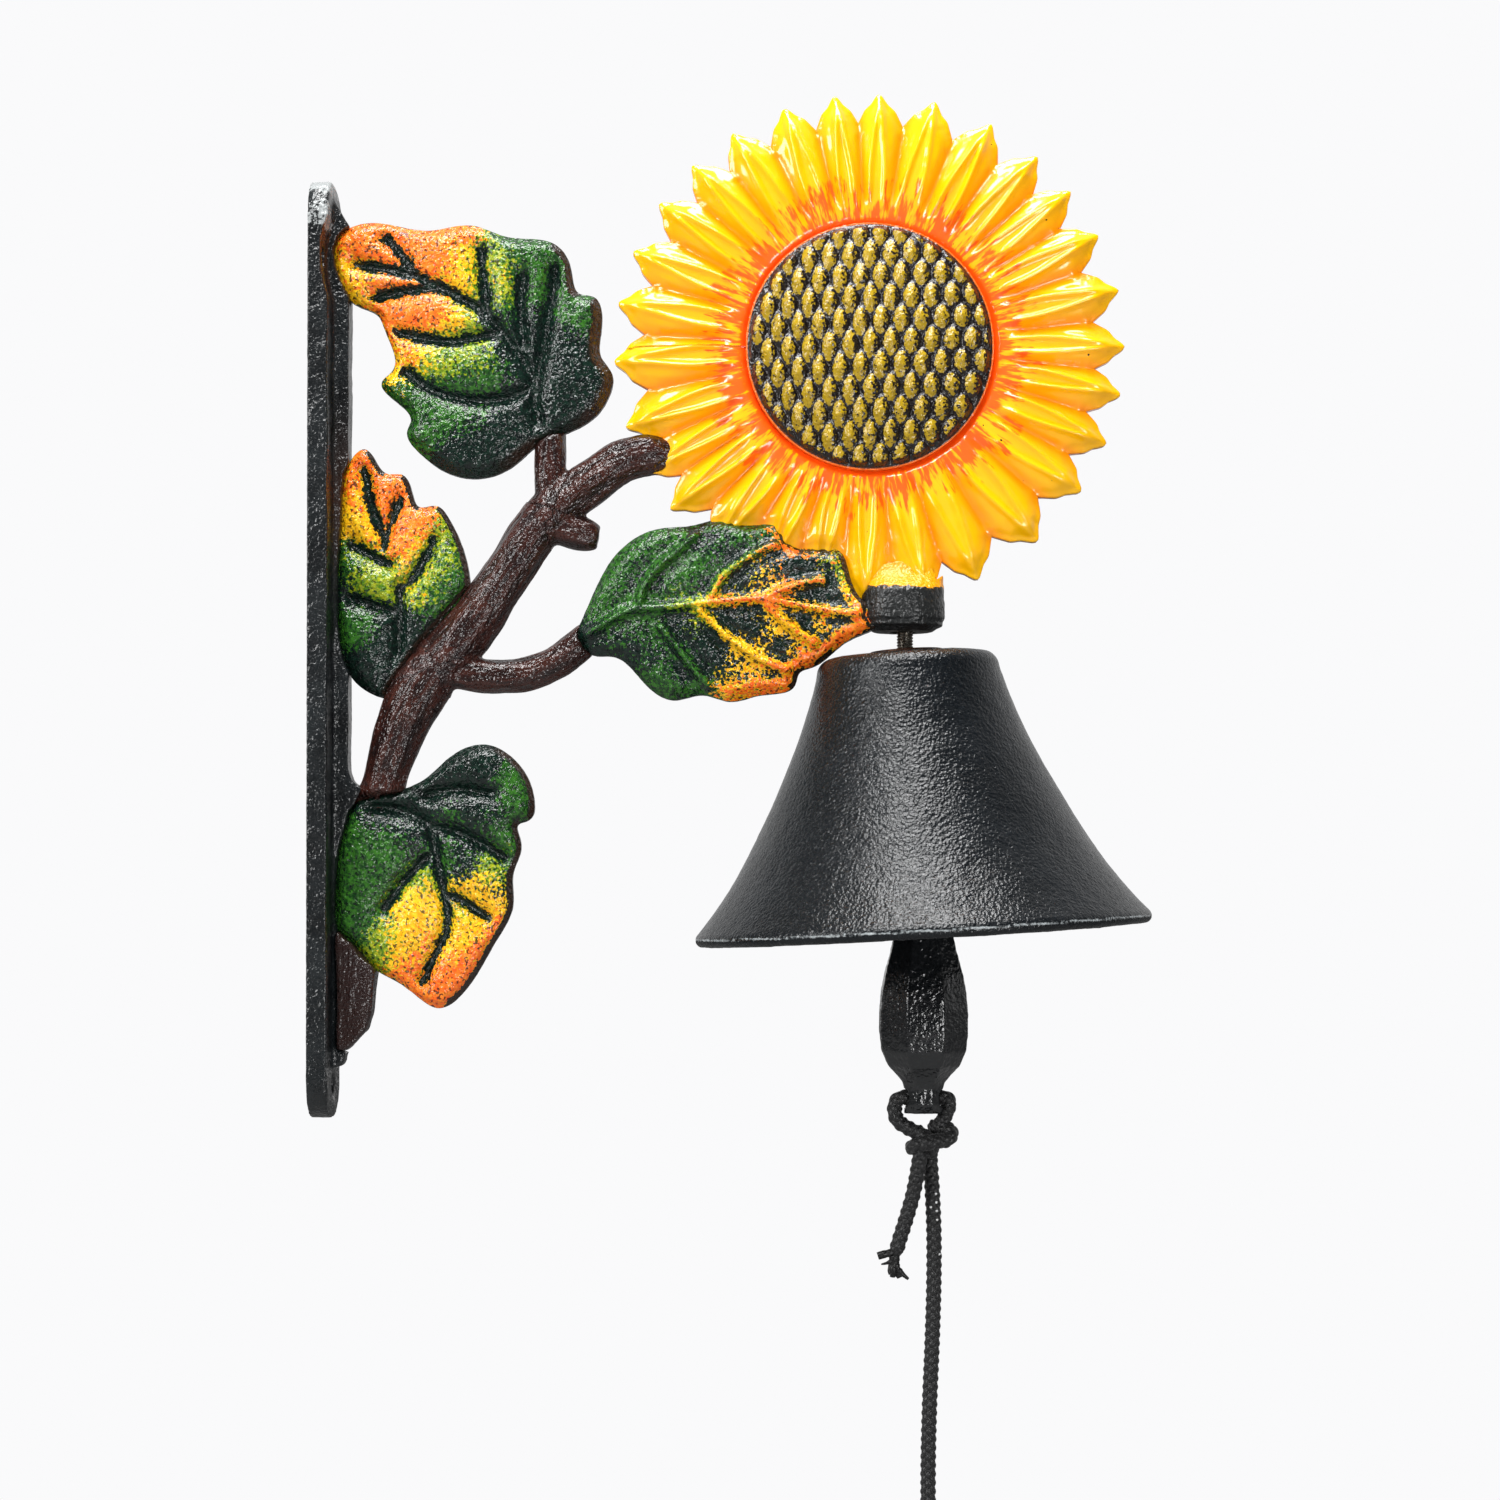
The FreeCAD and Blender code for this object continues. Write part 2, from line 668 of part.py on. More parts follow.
def make_bell_and_pull():
    washer_top = size("crown_wall") + 0.1
    knot = make_knot("cord_knot", (145.1, 0, -115.7), (5.4, 4.8, 3.6))
    end_knot = make_knot("cord_end_knot", (148.7, PULL_PLANE, -272.0), (4.7, 4.5, 5.4))
    return [
        make_hook_bolt(),
        make_nut(),
        make_washer("crown_washer", size("crown_washer_dia"), -size("washer_thick") - 0.1),
        make_washer("seat_washer", size("seat_washer_dia"), washer_top),
        make_bell(),
        make_clapper(),
        trimmed("cord_loop", make_cord("cord_loop", LOOP_ROUTE, 0.0), knot),
        knot,
        trimmed("cord_tail", make_cord("cord_tail", TAIL_ROUTE, TAIL_PLANE), knot),
        trimmed("pull_cord", make_cord("pull_cord", PULL_ROUTE, PULL_PLANE), knot, end_knot),
        end_knot,
    ]


parts = make_bracket() + make_bell_and_pull()
doc.recompute()

for item in doc.Objects:
    if {"Invalid", "Error"} & set(item.State):
        raise RuntimeError(f"{item.Name} did not compute: {item.State}")
for item in parts:
    if item.Shape.isNull() or not item.Shape.isValid() or not item.Shape.Solids:
        raise RuntimeError(f"{item.Label} has no valid solid")

os.makedirs("parts", exist_ok=True)
for item in parts:
    item.Shape.exportStep(f"parts/{item.Label}.step")
    print(f"{item.Label}: {len(item.Shape.Solids)} solid, {item.Shape.Volume:.0f} mm3")
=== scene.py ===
"""A yard dinner bell: a painted cast-iron sunflower bracket, its bell, clapper and braided cord.

Lengths are in millimetres, and MM makes them the frame's metres.
"""

import itertools
import math

import bmesh
import bpy
import numpy as np
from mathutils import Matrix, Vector, kdtree


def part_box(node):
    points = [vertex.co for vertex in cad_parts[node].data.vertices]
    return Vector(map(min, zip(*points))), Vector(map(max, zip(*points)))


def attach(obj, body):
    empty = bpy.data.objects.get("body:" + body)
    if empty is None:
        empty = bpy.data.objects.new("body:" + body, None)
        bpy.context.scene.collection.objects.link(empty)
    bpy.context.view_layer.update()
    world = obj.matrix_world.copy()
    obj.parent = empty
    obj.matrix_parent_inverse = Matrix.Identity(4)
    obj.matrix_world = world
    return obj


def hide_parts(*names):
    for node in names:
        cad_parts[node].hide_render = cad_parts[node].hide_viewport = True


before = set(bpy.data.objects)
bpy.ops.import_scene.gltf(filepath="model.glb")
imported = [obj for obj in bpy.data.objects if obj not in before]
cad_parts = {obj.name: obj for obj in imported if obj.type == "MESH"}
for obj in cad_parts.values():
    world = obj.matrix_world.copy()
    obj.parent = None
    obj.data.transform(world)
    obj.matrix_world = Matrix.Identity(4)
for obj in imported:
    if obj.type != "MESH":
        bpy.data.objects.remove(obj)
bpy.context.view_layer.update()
MM = 0.001

# ---------------- camera
CAMERA_AT = (0.1030, -0.7080, -0.0560)
CAMERA_PITCH = 0.8
CAMERA_SHIFT_UP = 0.0636
LENS = 72.0

# ---------------- cords
CORD_DIA = 3.6
LOOP_ROUTE = [
    (143.2, -0.4, -114.2), (140.4, -0.2, -112.9), (137.0, 0, -110.6), (137.2, 0, -105.4),
    (142.6, 0, -105.6), (145.2, 0, -105.6), (150.4, 0, -105.4), (149.2, 0.2, -110.2),
    (146.6, 0.3, -113.6),
]
TAIL_ROUTE = [
    (143.2, -1.7, -117.4), (142.0, -1.7, -126.0), (139.7, -1.7, -134.0), (137.4, -1.7, -141.0),
    (136.2, -1.7, -146.6),
]
PULL_ROUTE = [
    (145.3, 1.1, -117.4), (146.3, 1.1, -130.0), (146.5, 1.1, -146.0), (146.0, 1.1, -163.0),
    (145.2, 1.1, -180.0), (144.9, 1.1, -198.0), (145.2, 1.1, -217.0), (145.9, 1.1, -235.0),
    (147.0, 1.1, -253.0), (148.4, 1.1, -268.0),
]
KNOT_WRAP = [
    (145.2, 1.6, -112.9), (148.4, 0.6, -112.2), (150.6, -0.9, -113.6), (149.6, -2.6, -115.4),
    (146.0, -3.7, -115.6), (142.6, -3.0, -116.4), (140.9, -0.6, -117.4), (142.4, 2.2, -117.2),
    (146.0, 3.4, -115.8), (148.6, 1.6, -115.4),
]
KNOT_THROUGH = [
    (141.6, -0.6, -113.0), (143.6, -1.5, -114.2), (145.4, -1.9, -115.4), (146.0, -1.2, -117.2),
    (145.4, 0.4, -119.4),
]
END_KNOT_ROUTE = [
    (148.4, 1.1, -266.4), (150.6, -0.6, -268.6), (151.2, 1.6, -270.6), (148.6, 3.6, -271.4),
    (146.0, 2.0, -270.2), (146.2, -0.8, -271.6), (149.0, -1.6, -273.2), (151.0, 0.6, -274.0),
    (149.2, 2.8, -275.2), (148.4, 1.4, -276.2),
]

# ---------------- branch, as (x, z) along each limb
MAIN_BRANCH = [
    (14.0, -44.0), (15.9, -33.8), (18.4, -25.0), (22.8, -13.5), (28.8, -4.5), (36.6, 5.0),
    (44.0, 15.5), (50.4, 25.2), (57.0, 33.4), (64.9, 39.2), (72.5, 44.4), (83.0, 46.0),
]
FRONT_TWIG = [(24.0, -3.0), (34.3, -5.4), (45.4, -6.3), (56.0, -3.4), (63.7, 2.0), (72.0, 6.5)]
UPPER_TWIG = [(57.0, 32.0), (55.7, 41.0), (56.0, 50.0), (55.0, 60.0)]
BRANCH_KNOB = [(56.0, 29.4), (60.5, 28.3), (64.5, 27.2), (67.2, 26.7)]
ROOT_LINE = [(12.0, -60.0), (11.0, -95.0)]

# ---------------- sunflower
PETAL_TIPS = [
    0.3, 13.2, 26.3, 38.0, 48.8, 61.5, 75.1, 87.8, 97.8, 109.5, 122.5, 134.0, 145.4,
    157.8, 169.8, 183.0, 198.0, 209.0, 219.0, 232.0, 245.0, 257.0, 269.0, 282.5, 295.0,
    311.0, 326.0, 338.0, 349.5,
]

# ---------------- leaves: grooves and veins, as (x, z)
UPPER_GROOVES = [
    [(53, 54), (52, 60), (51, 66), (46, 73), (40, 80), (33, 84), (27, 87), (22, 89), (10, 91)],
    [(15, 83), (20, 84.5), (30, 85.5)],
    [(18, 75.3), (26, 73.5), (33, 72.5), (43, 74.5)],
    [(22, 65.5), (27, 61.5), (33, 59.5), (40, 58.5), (47, 59.5), (51, 61.5)],
    [(17.4, 97), (20, 94), (23, 90)],
    [(49.5, 88), (48.6, 80), (49.5, 72)],
    [(39.5, 94), (40.3, 86), (41, 79)],
    [(57, 90), (55.5, 78), (53, 66), (52, 57)],
]
MIDDLE_GROOVES = [
    [(20, -5), (20.5, 5), (20.5, 14)],
    [(6.5, 26.5), (12, 23), (18, 20)],
    [(28.5, 26), (26.5, 21), (23.5, 16.5), (21, 14.5)],
    [(21, 36), (19, 32), (16.5, 24)],
    [(7, 12.5), (14, 10.5), (19, 9)],
    [(12, 42), (14, 33), (17, 26)],
]
LOWER_GROOVES = [
    [(28, -42), (29.5, -50), (31, -57), (32.5, -65), (29.5, -71), (26, -78)],
    [(29, -42), (35, -43), (41, -46.5), (46, -49.5)],
    [(31, -57.5), (36, -59.5), (41, -63)],
    [(27, -34.5), (34, -32.5), (42, -34)],
    [(27, -49), (22, -54), (17, -61)],
    [(27, -41), (22, -38), (14, -37)],
]
FRONT_VEINS = [
    [(64, 3), (72, 8), (76, 9.5), (84, 9.7), (92, 10.8), (100, 11.5), (107, 11.7), (113, 10.5),
     (121, 9), (128, 8), (133, 6)],
    [(77, 10), (77.5, 14), (81, 19), (86, 23), (90, 27)],
    [(94, 12.5), (96, 16.5), (100, 20), (106, 23.5), (109, 24.5)],
    [(107, 12), (112, 14.5), (118, 16.2), (120, 16)],
    [(91, 9), (94, 6), (98, 2.5), (102, -0.5), (107, -3.5), (112, -5)],
    [(107, 10.5), (110, 7), (114, 4), (118, 1.5)],
    [(82, 5), (87, -1), (91, -6.5), (94, -9.5)],
]

# Where each leaf's brush went, as (x, z): O orange, Y yellow, L light green, G green, D bare dark
UPPER_PAINT = {
    "O": [(12, 97), (12, 93), (18, 97), (24, 92), (26, 97), (30, 95), (30, 89), (13, 87), (19, 87),
          (22, 80), (29, 81), (22, 76), (36, 98), (22, 71)],
    "Y": [(9, 90), (9, 86), (34, 92), (36, 88), (18, 71), (35, 78), (27, 70), (44, 87), (20, 66)],
    "L": [(38, 76), (31, 69), (39, 69), (43, 91), (46, 84), (41, 82), (27, 66), (38, 92)],
    "G": [(33, 65), (41, 65), (50, 91), (58, 91), (60, 84), (52, 95), (26, 58), (20, 61), (31, 55),
          (24, 50), (66, 81), (46, 96), (49, 84), (55, 86), (62, 88), (64, 79), (44, 80),
          (38, 56), (30, 60)],
    "D": [(45, 77), (52, 77), (55, 68), (62, 72), (66, 62), (60, 60), (47, 68), (38, 51), (45, 50),
          (52, 52), (33, 47), (40, 45), (58, 54), (47, 56)],
}
MIDDLE_PAINT = {
    "O": [(13, 43), (21, 37), (26, 32), (11, 37), (22, 27), (18, 25), (16, 37), (17, 31), (23, 32)],
    "Y": [(9, 39), (9, 31), (13, 28), (26, 24), (25, 15)],
    "L": [(29, 28), (12, 19), (17, 16), (26, 13), (30, 24), (14, 14), (28, 19)],
    "G": [(32, 22), (12, 8), (31, 14), (9, 22), (28, 10), (34, 16), (9, 5)],
    "D": [(17, 1), (27, 4), (12, -3), (21, -7), (30, 3), (21, 6), (8, 14), (18, 8)],
}
LOWER_PAINT = {
    "O": [(22, -76), (30, -80), (37, -78), (41, -70), (27, -67), (44, -64), (28, -76),
          (36, -73), (33, -82)],
    "Y": [(26, -59), (23, -63), (24, -71), (37, -67), (37, -59), (41, -56), (45, -61), (21, -69),
          (27, -62), (33, -62), (34, -70)],
    "L": [(18, -69), (34, -63), (26, -55), (43, -50), (16, -71)],
    "G": [(9, -43), (5, -53), (13, -48), (20, -45), (18, -53), (13, -61), (12, -67), (31, -48),
          (43, -43), (46, -48), (50, -37), (49, -30), (32, -40), (47, -33), (7, -62), (50, -41)],
    "D": [(15, -39), (37, -27), (37, -37), (28, -36), (35, -52), (45, -57), (30, -28), (24, -39),
          (42, -26), (40, -40), (22, -36), (25, -45), (44, -37), (35, -47)],
}
FRONT_PAINT = {
    "O": [(112, 21), (118, 20), (108, 22.5), (124, 4), (115, -2), (106, -8), (100, -9.2),
          (130, 6.5), (128, 9), (120, 16), (97, 12), (104, 12), (112, 11), (120, 9), (111, -4),
          (121, 1)],
    "Y": [(104, 16), (118, 5), (109, 2), (105, 4), (101, -1), (109, -3), (100, -6), (96, 4),
          (122, 6), (112, 7), (126, 13), (92, 9)],
    "L": [(86, 10.2), (98, 18), (90, 9), (121, 18)],
    "G": [(74, 9.5), (80, 9.8), (77.5, 15), (84, 22), (82, 16), (88, 17), (74, 5), (80, 2),
          (90, -3), (70, 15), (76, 23), (87, 25), (92, 21), (94, 18), (105, 26), (82, -7),
          (91, -9), (89, 15), (68, 9), (125, 11), (101, 24), (96, 26)],
    "D": [(94, -2), (86, 3), (75, 4), (67, 4), (80, 14), (88, 8), (99, 6), (112, 25), (118, 23),
          (122, 21), (116, 12), (103, 20), (88, -5), (78, -2), (92, 27), (117, 14)],
}


def screen(red, green, blue):
    """A colour given as 0 to 255 screen values, as Blender's linear one."""
    parts = [c / 255 for c in (red, green, blue)]
    return tuple(c / 12.92 if c < 0.04 else ((c + 0.055) / 1.055) ** 2.4 for c in parts) + (1.0,)


# ---------------- small tools
def link(name, data):
    thing = bpy.data.objects.new(name, data)
    bpy.context.scene.collection.objects.link(thing)
    return thing


def piece_from(name, points, faces):
    """A smooth-shaded mesh from points in millimetres."""
    mesh = bpy.data.meshes.new(name)
    mesh.from_pydata([tuple(p) for p in np.asarray(points) * MM], [], faces)
    mesh.shade_smooth()
    mesh.update()
    return link(name, mesh)


def points_of(mesh):
    flat = np.empty(len(mesh.vertices) * 3, np.float32)
    mesh.vertices.foreach_get("co", flat)
    return flat.reshape(-1, 3).astype(float) / MM


def normals_of(mesh):
    flat = np.empty(len(mesh.vertices) * 3, np.float32)
    mesh.vertex_normals.foreach_get("vector", flat)
    return flat.reshape(-1, 3).astype(float)


def move_to(mesh, points):
    mesh.vertices.foreach_set("co", (points * MM).astype(np.float32).ravel())
    mesh.update()


def keep_value(mesh, name, values):
    mesh.attributes.new(name, "FLOAT", "POINT").data.foreach_set("value", values.astype(np.float32))


def keep_vector(mesh, name, values):
    layer = mesh.attributes.new(name, "FLOAT_VECTOR", "POINT")
    layer.data.foreach_set("vector", values.astype(np.float32).ravel())


def fixed(thing):
    """Applies the modifiers of a piece to its mesh."""
    graph = bpy.context.evaluated_depsgraph_get()
    made = bpy.data.meshes.new_from_object(thing.evaluated_get(graph))
    thing.modifiers.clear()
    thing.data = made
    return thing


def skin(name, nodes, voxel):
    """One closed skin of small even faces round CAD nodes, of that size in millimetres."""
    shape = bmesh.new()
    for node in nodes:
        shape.from_mesh(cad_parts[node].data)
    bmesh.ops.remove_doubles(shape, verts=shape.verts, dist=1e-6)
    mesh = bpy.data.meshes.new(name)
    shape.to_mesh(mesh)
    shape.free()
    thing = link(name, mesh)
    remesh = thing.modifiers.new("skin", "REMESH")
    remesh.mode = "VOXEL"
    remesh.voxel_size = voxel * MM
    remesh.use_smooth_shade = True
    fixed(thing)
    thing.data.materials.clear()
    return thing


def relax(thing, rounds):
    smooth = thing.modifiers.new("relax", "SMOOTH")
    smooth.factor = 0.5
    smooth.iterations = rounds
    return fixed(thing)


def grain(points, size, seed):
    """Smooth noise from -1 to 1, in lumps of about that size."""
    cells = 32
    table = np.random.default_rng(seed).uniform(-1, 1, (cells, cells, cells))
    place = points / size
    low = np.floor(place).astype(int)
    part = place - low
    part = part * part * (3 - 2 * part)
    total = np.zeros(len(points))
    for corner in itertools.product((0, 1), repeat=3):
        index = (low + corner) % cells
        weight = np.prod(np.where(corner, part, 1 - part), axis=1)
        total += weight * table[index[:, 0], index[:, 1], index[:, 2]]
    return total


def bell_curve(distance, width):
    return np.exp(-((distance / width) ** 2))


def ramp(values, low, high):
    """0 below low, 1 above high, and smooth between."""
    share = np.clip((values - low) / (high - low), 0, 1)
    return share * share * (3 - 2 * share)


def rounded(line, rounds=2):
    """A line of (x, z) points with its corners cut."""
    for _ in range(rounds):
        cut = [line[0]]
        for a, b in zip(line, line[1:]):
            cut += [(a[0] * 0.75 + b[0] * 0.25, a[1] * 0.75 + b[1] * 0.25)]
            cut += [(a[0] * 0.25 + b[0] * 0.75, a[1] * 0.25 + b[1] * 0.75)]
        line = cut + [line[-1]]
    return line


def nearest_on(points, lines):
    """Each point's distance in XZ to the nearest of the lines, and how far along that line."""
    best, along = np.full(len(points), 1e9), np.zeros(len(points))
    x, z = points[:, 0], points[:, 2]
    for line in lines:
        before = 0.0
        for (ax, az), (bx, bz) in zip(line, line[1:]):
            dx, dz = bx - ax, bz - az
            length = math.hypot(dx, dz)
            share = np.clip(((x - ax) * dx + (z - az) * dz) / length**2, 0, 1)
            gap = np.hypot(x - ax - share * dx, z - az - share * dz)
            along = np.where(gap < best, before + share * length, along)
            best = np.minimum(best, gap)
            before += length
    return best, along


def rim_distance(points, normals):
    """For each point of a slab, its distance in XZ to the slab's side wall."""
    wall = points[np.abs(normals[:, 1]) < 0.6]
    tree = kdtree.KDTree(len(wall))
    for i, p in enumerate(wall):
        tree.insert((p[0], 0.0, p[2]), i)
    tree.balance()
    return np.array([tree.find((p[0], 0.0, p[2]))[2] for p in points])


def swollen(thing, points, inside, amount):
    """Moves a slab's outline outwards, to make up for what smoothing takes off its points."""
    outward = normals_of(thing.data) * (amount * (1 - ramp(inside, 0.0, 1.5)))[:, None]
    outward[:, 1] = 0.0
    return points + outward


def pillow(inside, edge, crown, steep, reach):
    """Half thickness of a casting with soft sides, by the distance inside its rim."""
    side = 1 - (1 - np.clip(inside / steep, 0, 1)) ** 2.2
    dome = 1 - (1 - np.clip(inside / reach, 0, 1)) ** 2
    return edge + (crown - edge) * (0.62 * side + 0.38 * dome)


# ---------------- materials
class Wiring:
    """A node tree being wired up."""

    def __init__(self, tree):
        self.tree = tree

    def add(self, kind, inputs=None, **settings):
        node = self.tree.nodes.new(kind)
        for key, value in settings.items():
            setattr(node, key, value)
        for key, value in (inputs or {}).items():
            self.feed(node.inputs[key], value)
        return node

    def feed(self, socket, value):
        if isinstance(value, bpy.types.NodeSocket):
            self.tree.links.new(value, socket)
        else:
            socket.default_value = value


class Paint(Wiring):
    """A material being wired up. Its methods add nodes and give back their output."""

    def __init__(self, name):
        self.material = bpy.data.materials.new(name)
        self.material.use_nodes = True
        super().__init__(self.material.node_tree)
        self.shader = self.tree.nodes["Principled BSDF"]
        self.place = self.add("ShaderNodeTexCoord").outputs["Object"]

    def math(self, operation, a, b):
        return self.add("ShaderNodeMath", {0: a, 1: b}, operation=operation).outputs[0]

    def plus(self, a, b):
        return self.math("ADD", a, b)

    def times(self, a, b):
        return self.math("MULTIPLY", a, b)

    def swing(self, noise, amount):
        """Noise that swings by that amount in all, about zero."""
        return self.times(self.math("SUBTRACT", noise, 0.5), amount)

    def noise(self, size, detail=2.0, rough=0.55, where=None, shift=0.0):
        """Noise in lumps of about that size, in millimetres."""
        place = where or self.place
        if shift:
            moved = self.add("ShaderNodeVectorMath", {0: place, 1: (shift, shift, shift)})
            place = moved.outputs[0]
        settings = {"Vector": place, "Scale": 1 / (size * MM), "Detail": detail, "Roughness": rough}
        return self.add("ShaderNodeTexNoise", settings).outputs["Fac"]

    def band(self, value, low, high, first=0.0, last=1.0):
        ends = {"From Min": low, "From Max": high, "To Min": first, "To Max": last}
        kind = "ShaderNodeMapRange"
        node = self.add(kind, {"Value": value, **ends}, interpolation_type="SMOOTHSTEP")
        return node.outputs["Result"]

    def blend(self, share, first, second):
        node = self.add("ShaderNodeMix", {0: share, 6: first, 7: second}, data_type="RGBA")
        return node.outputs[2]

    def kept(self, name, output="Fac"):
        return self.add("ShaderNodeAttribute", attribute_name=name).outputs[output]

    def bump(self, height, depth, under=None):
        """Bumps of that depth in millimetres, over others if they are given."""
        inputs = {"Height": height, "Strength": 1.0, "Distance": depth * MM}
        if under is not None:
            inputs["Normal"] = under
        return self.add("ShaderNodeBump", inputs).outputs["Normal"]

    def finish(
        self, colour, roughness, normal, coat=0.0, coat_roughness=0.1, metallic=0.0, specular=0.5
    ):
        self.feed(self.shader.inputs["Base Color"], colour)
        self.feed(self.shader.inputs["Roughness"], roughness)
        self.feed(self.shader.inputs["Normal"], normal)
        self.feed(self.shader.inputs["Coat Normal"], normal)
        self.shader.inputs["Coat Weight"].default_value = coat
        self.shader.inputs["Coat Roughness"].default_value = coat_roughness
        self.shader.inputs["Metallic"].default_value = metallic
        self.shader.inputs["Specular IOR Level"].default_value = specular
        return self.material


def cast_bumps(paint, grit, lumps, size=0.85):
    """The pebbled skin of sand-cast iron under its paint."""
    broad = paint.bump(paint.noise(4.5, 2.0), lumps)
    return paint.bump(paint.noise(size, 1.0, 0.5), grit, broad)


def leaf_material():
    """Brushed leaf paint: black-green, then each brighter colour dragged over the grain."""
    paint = Paint("leaf_paint")
    fine = paint.noise(0.9, 2.0, 0.6)
    broad = paint.noise(5.0, 2.0, shift=0.31)
    other = paint.noise(1.1, 2.0, 0.6, shift=0.77)
    drag = paint.plus(paint.times(fine, 3.6), paint.times(broad, 1.2))
    dark = paint.blend(paint.band(other, 0.35, 0.65), screen(7, 16, 15), screen(15, 38, 29))
    green = paint.blend(paint.band(other, 0.35, 0.65), screen(18, 54, 20), screen(50, 104, 30))
    light = paint.blend(paint.band(other, 0.35, 0.65), screen(74, 118, 20), screen(160, 168, 26))
    yellow = paint.blend(paint.band(other, 0.35, 0.65), screen(226, 158, 8), screen(252, 200, 30))
    orange = paint.blend(paint.band(other, 0.3, 0.7), screen(246, 92, 20), screen(252, 138, 36))
    colour = paint.blend(paint.kept("side"), dark, screen(46, 32, 24))
    for name, over in (("green", green), ("light", light), ("yellow", yellow), ("orange", orange)):
        reach = paint.plus(paint.times(paint.kept(name), 1.9), drag)
        brushed = paint.band(paint.kept(name), 0.05, 0.22)
        colour = paint.blend(paint.times(paint.band(reach, 3.1, 3.4), brushed), colour, over)
    pits = paint.band(paint.noise(0.85, 1.0, 0.5, shift=0.13), 0.58, 0.64)
    colour = paint.blend(paint.times(pits, 0.85), colour, screen(12, 24, 18))
    return paint.finish(
        colour, 0.19, cast_bumps(paint, grit=0.46, lumps=0.5), coat=0.12, coat_roughness=0.06
    )


def petal_material():
    """Thick gloss yellow, with orange brushed outwards from the seed head, and painted shade in the
    valleys between petals.
    """
    paint = Paint("petal_paint")
    ray = paint.kept("ray", "Vector")
    streak = paint.noise(1.2, 3.0, 0.65, where=ray)
    soft = paint.noise(7.0, 2.0, shift=0.2)
    yellow = paint.blend(soft, screen(255, 175, 0), screen(255, 197, 3))
    # Deeper orange-yellow in the valleys between petals and towards their sides: painted shade.
    yellow = paint.blend(paint.times(paint.kept("valley"), 0.9), yellow, screen(246, 134, 0))
    spread = paint.swing(streak, 3.2)
    reach = paint.plus(paint.kept("brush"), spread)
    reach = paint.plus(reach, paint.swing(soft, 1.6))
    reach = paint.times(reach, paint.band(paint.kept("brush"), 0.08, 0.4))
    colour = paint.blend(paint.band(reach, 0.5, 1.0), yellow, screen(252, 96, 16))
    chips = paint.band(paint.noise(2.6, 2.0, 0.5, shift=0.52), 0.765, 0.78)
    colour = paint.blend(chips, colour, screen(20, 18, 14))
    normal = paint.bump(paint.noise(5.0, 2.0, where=ray), 0.5, paint.bump(soft, 0.5))
    return paint.finish(colour, 0.2, normal, coat=0.5, coat_roughness=0.05)


def seed_material():
    """Gold dragged over black-brown seeds, thinner towards the lower right."""
    paint = Paint("seed_paint")
    fine = paint.noise(0.8, 2.0, 0.6)
    reach = paint.plus(paint.kept("gold"), paint.swing(fine, 2.2))
    gold = paint.blend(paint.noise(2.0, shift=0.4), screen(128, 104, 10), screen(196, 162, 18))
    dark = paint.blend(fine, screen(11, 8, 8), screen(34, 26, 24))
    colour = paint.blend(paint.band(reach, 0.45, 0.65), dark, gold)
    colour = paint.blend(paint.kept("rim"), colour, screen(250, 116, 30))
    return paint.finish(
        colour, 0.26, cast_bumps(paint, grit=0.36, lumps=0.3), coat=0.35, coat_roughness=0.12
    )


def wood_material():
    """Dark maroon-brown gloss over bark-like casting streaks."""
    paint = Paint("branch_paint")
    flow = paint.kept("flow", "Vector")
    streak = paint.noise(1.8, 2.0, 0.6, where=flow)
    fine = paint.noise(1.0, 2.0, 0.6)
    colour = paint.blend(paint.band(streak, 0.35, 0.65), screen(27, 13, 11), screen(60, 29, 22))
    colour = paint.blend(paint.band(fine, 0.56, 0.72), colour, screen(20, 12, 12))
    colour = paint.blend(paint.kept("root"), colour, screen(40, 26, 24))
    normal = paint.bump(streak, 0.7, cast_bumps(paint, grit=0.42, lumps=0.3))
    return paint.finish(colour, 0.22, normal, coat=0.25, coat_roughness=0.1)


def plate_material():
    """Black gloss on a rough casting, browned on the forward-facing seat and beside the middle
    leaf, with pale patches at the ends that are painted highlight and sheen mixed with wear.
    """
    paint = Paint("plate_paint")
    fine = paint.noise(1.0, 2.0, 0.6)
    broad = paint.noise(9.0, 2.0, shift=0.6)
    colour = paint.blend(paint.band(broad, 0.3, 0.7), screen(12, 15, 17), screen(26, 30, 32))
    colour = paint.blend(paint.times(paint.kept("brown"), 0.85), colour, screen(46, 28, 20))
    # The pale grey at the plate's ends is painted highlight and sheen mixed with wear.
    sheen_and_wear = paint.plus(paint.kept("sheen_and_wear"), paint.swing(broad, 2.4))
    sheen_and_wear = paint.plus(sheen_and_wear, paint.swing(fine, 1.4))
    highlight_and_wear = paint.times(paint.band(sheen_and_wear, 0.62, 0.85), 0.8)
    colour = paint.blend(highlight_and_wear, colour, screen(168, 172, 172))
    return paint.finish(
        colour, 0.28, cast_bumps(paint, grit=0.34, lumps=0.5), coat=0.2, coat_roughness=0.16
    )


def iron_material(name, tint, grit, rough, coat):
    """Semi-gloss black on fine sand-cast iron, with a painted highlight along a bell's lip."""
    paint = Paint(name)
    fine = paint.noise(0.9, 2.0, 0.6)
    broad = paint.noise(14.0, 2.0, shift=0.6)
    colour = paint.blend(paint.band(broad, 0.3, 0.7), screen(*tint), screen(*[c + 7 for c in tint]))
    colour = paint.blend(paint.band(fine, 0.60, 0.72), colour, screen(*[c + 22 for c in tint]))
    # Pale grey along a bell's lip: a painted highlight, made ragged by noise.
    highlight_and_wear = paint.plus(paint.kept("lip_highlight"), paint.swing(fine, 0.9))
    colour = paint.blend(paint.band(highlight_and_wear, 0.5, 0.85), colour, screen(150, 156, 158))
    roughness = paint.band(fine, 0.3, 0.7, rough + 0.05, rough - 0.05)
    bumps = cast_bumps(paint, grit, lumps=0.2, size=0.75)
    return paint.finish(colour, roughness, bumps, coat, coat_roughness=0.14, specular=0.42)


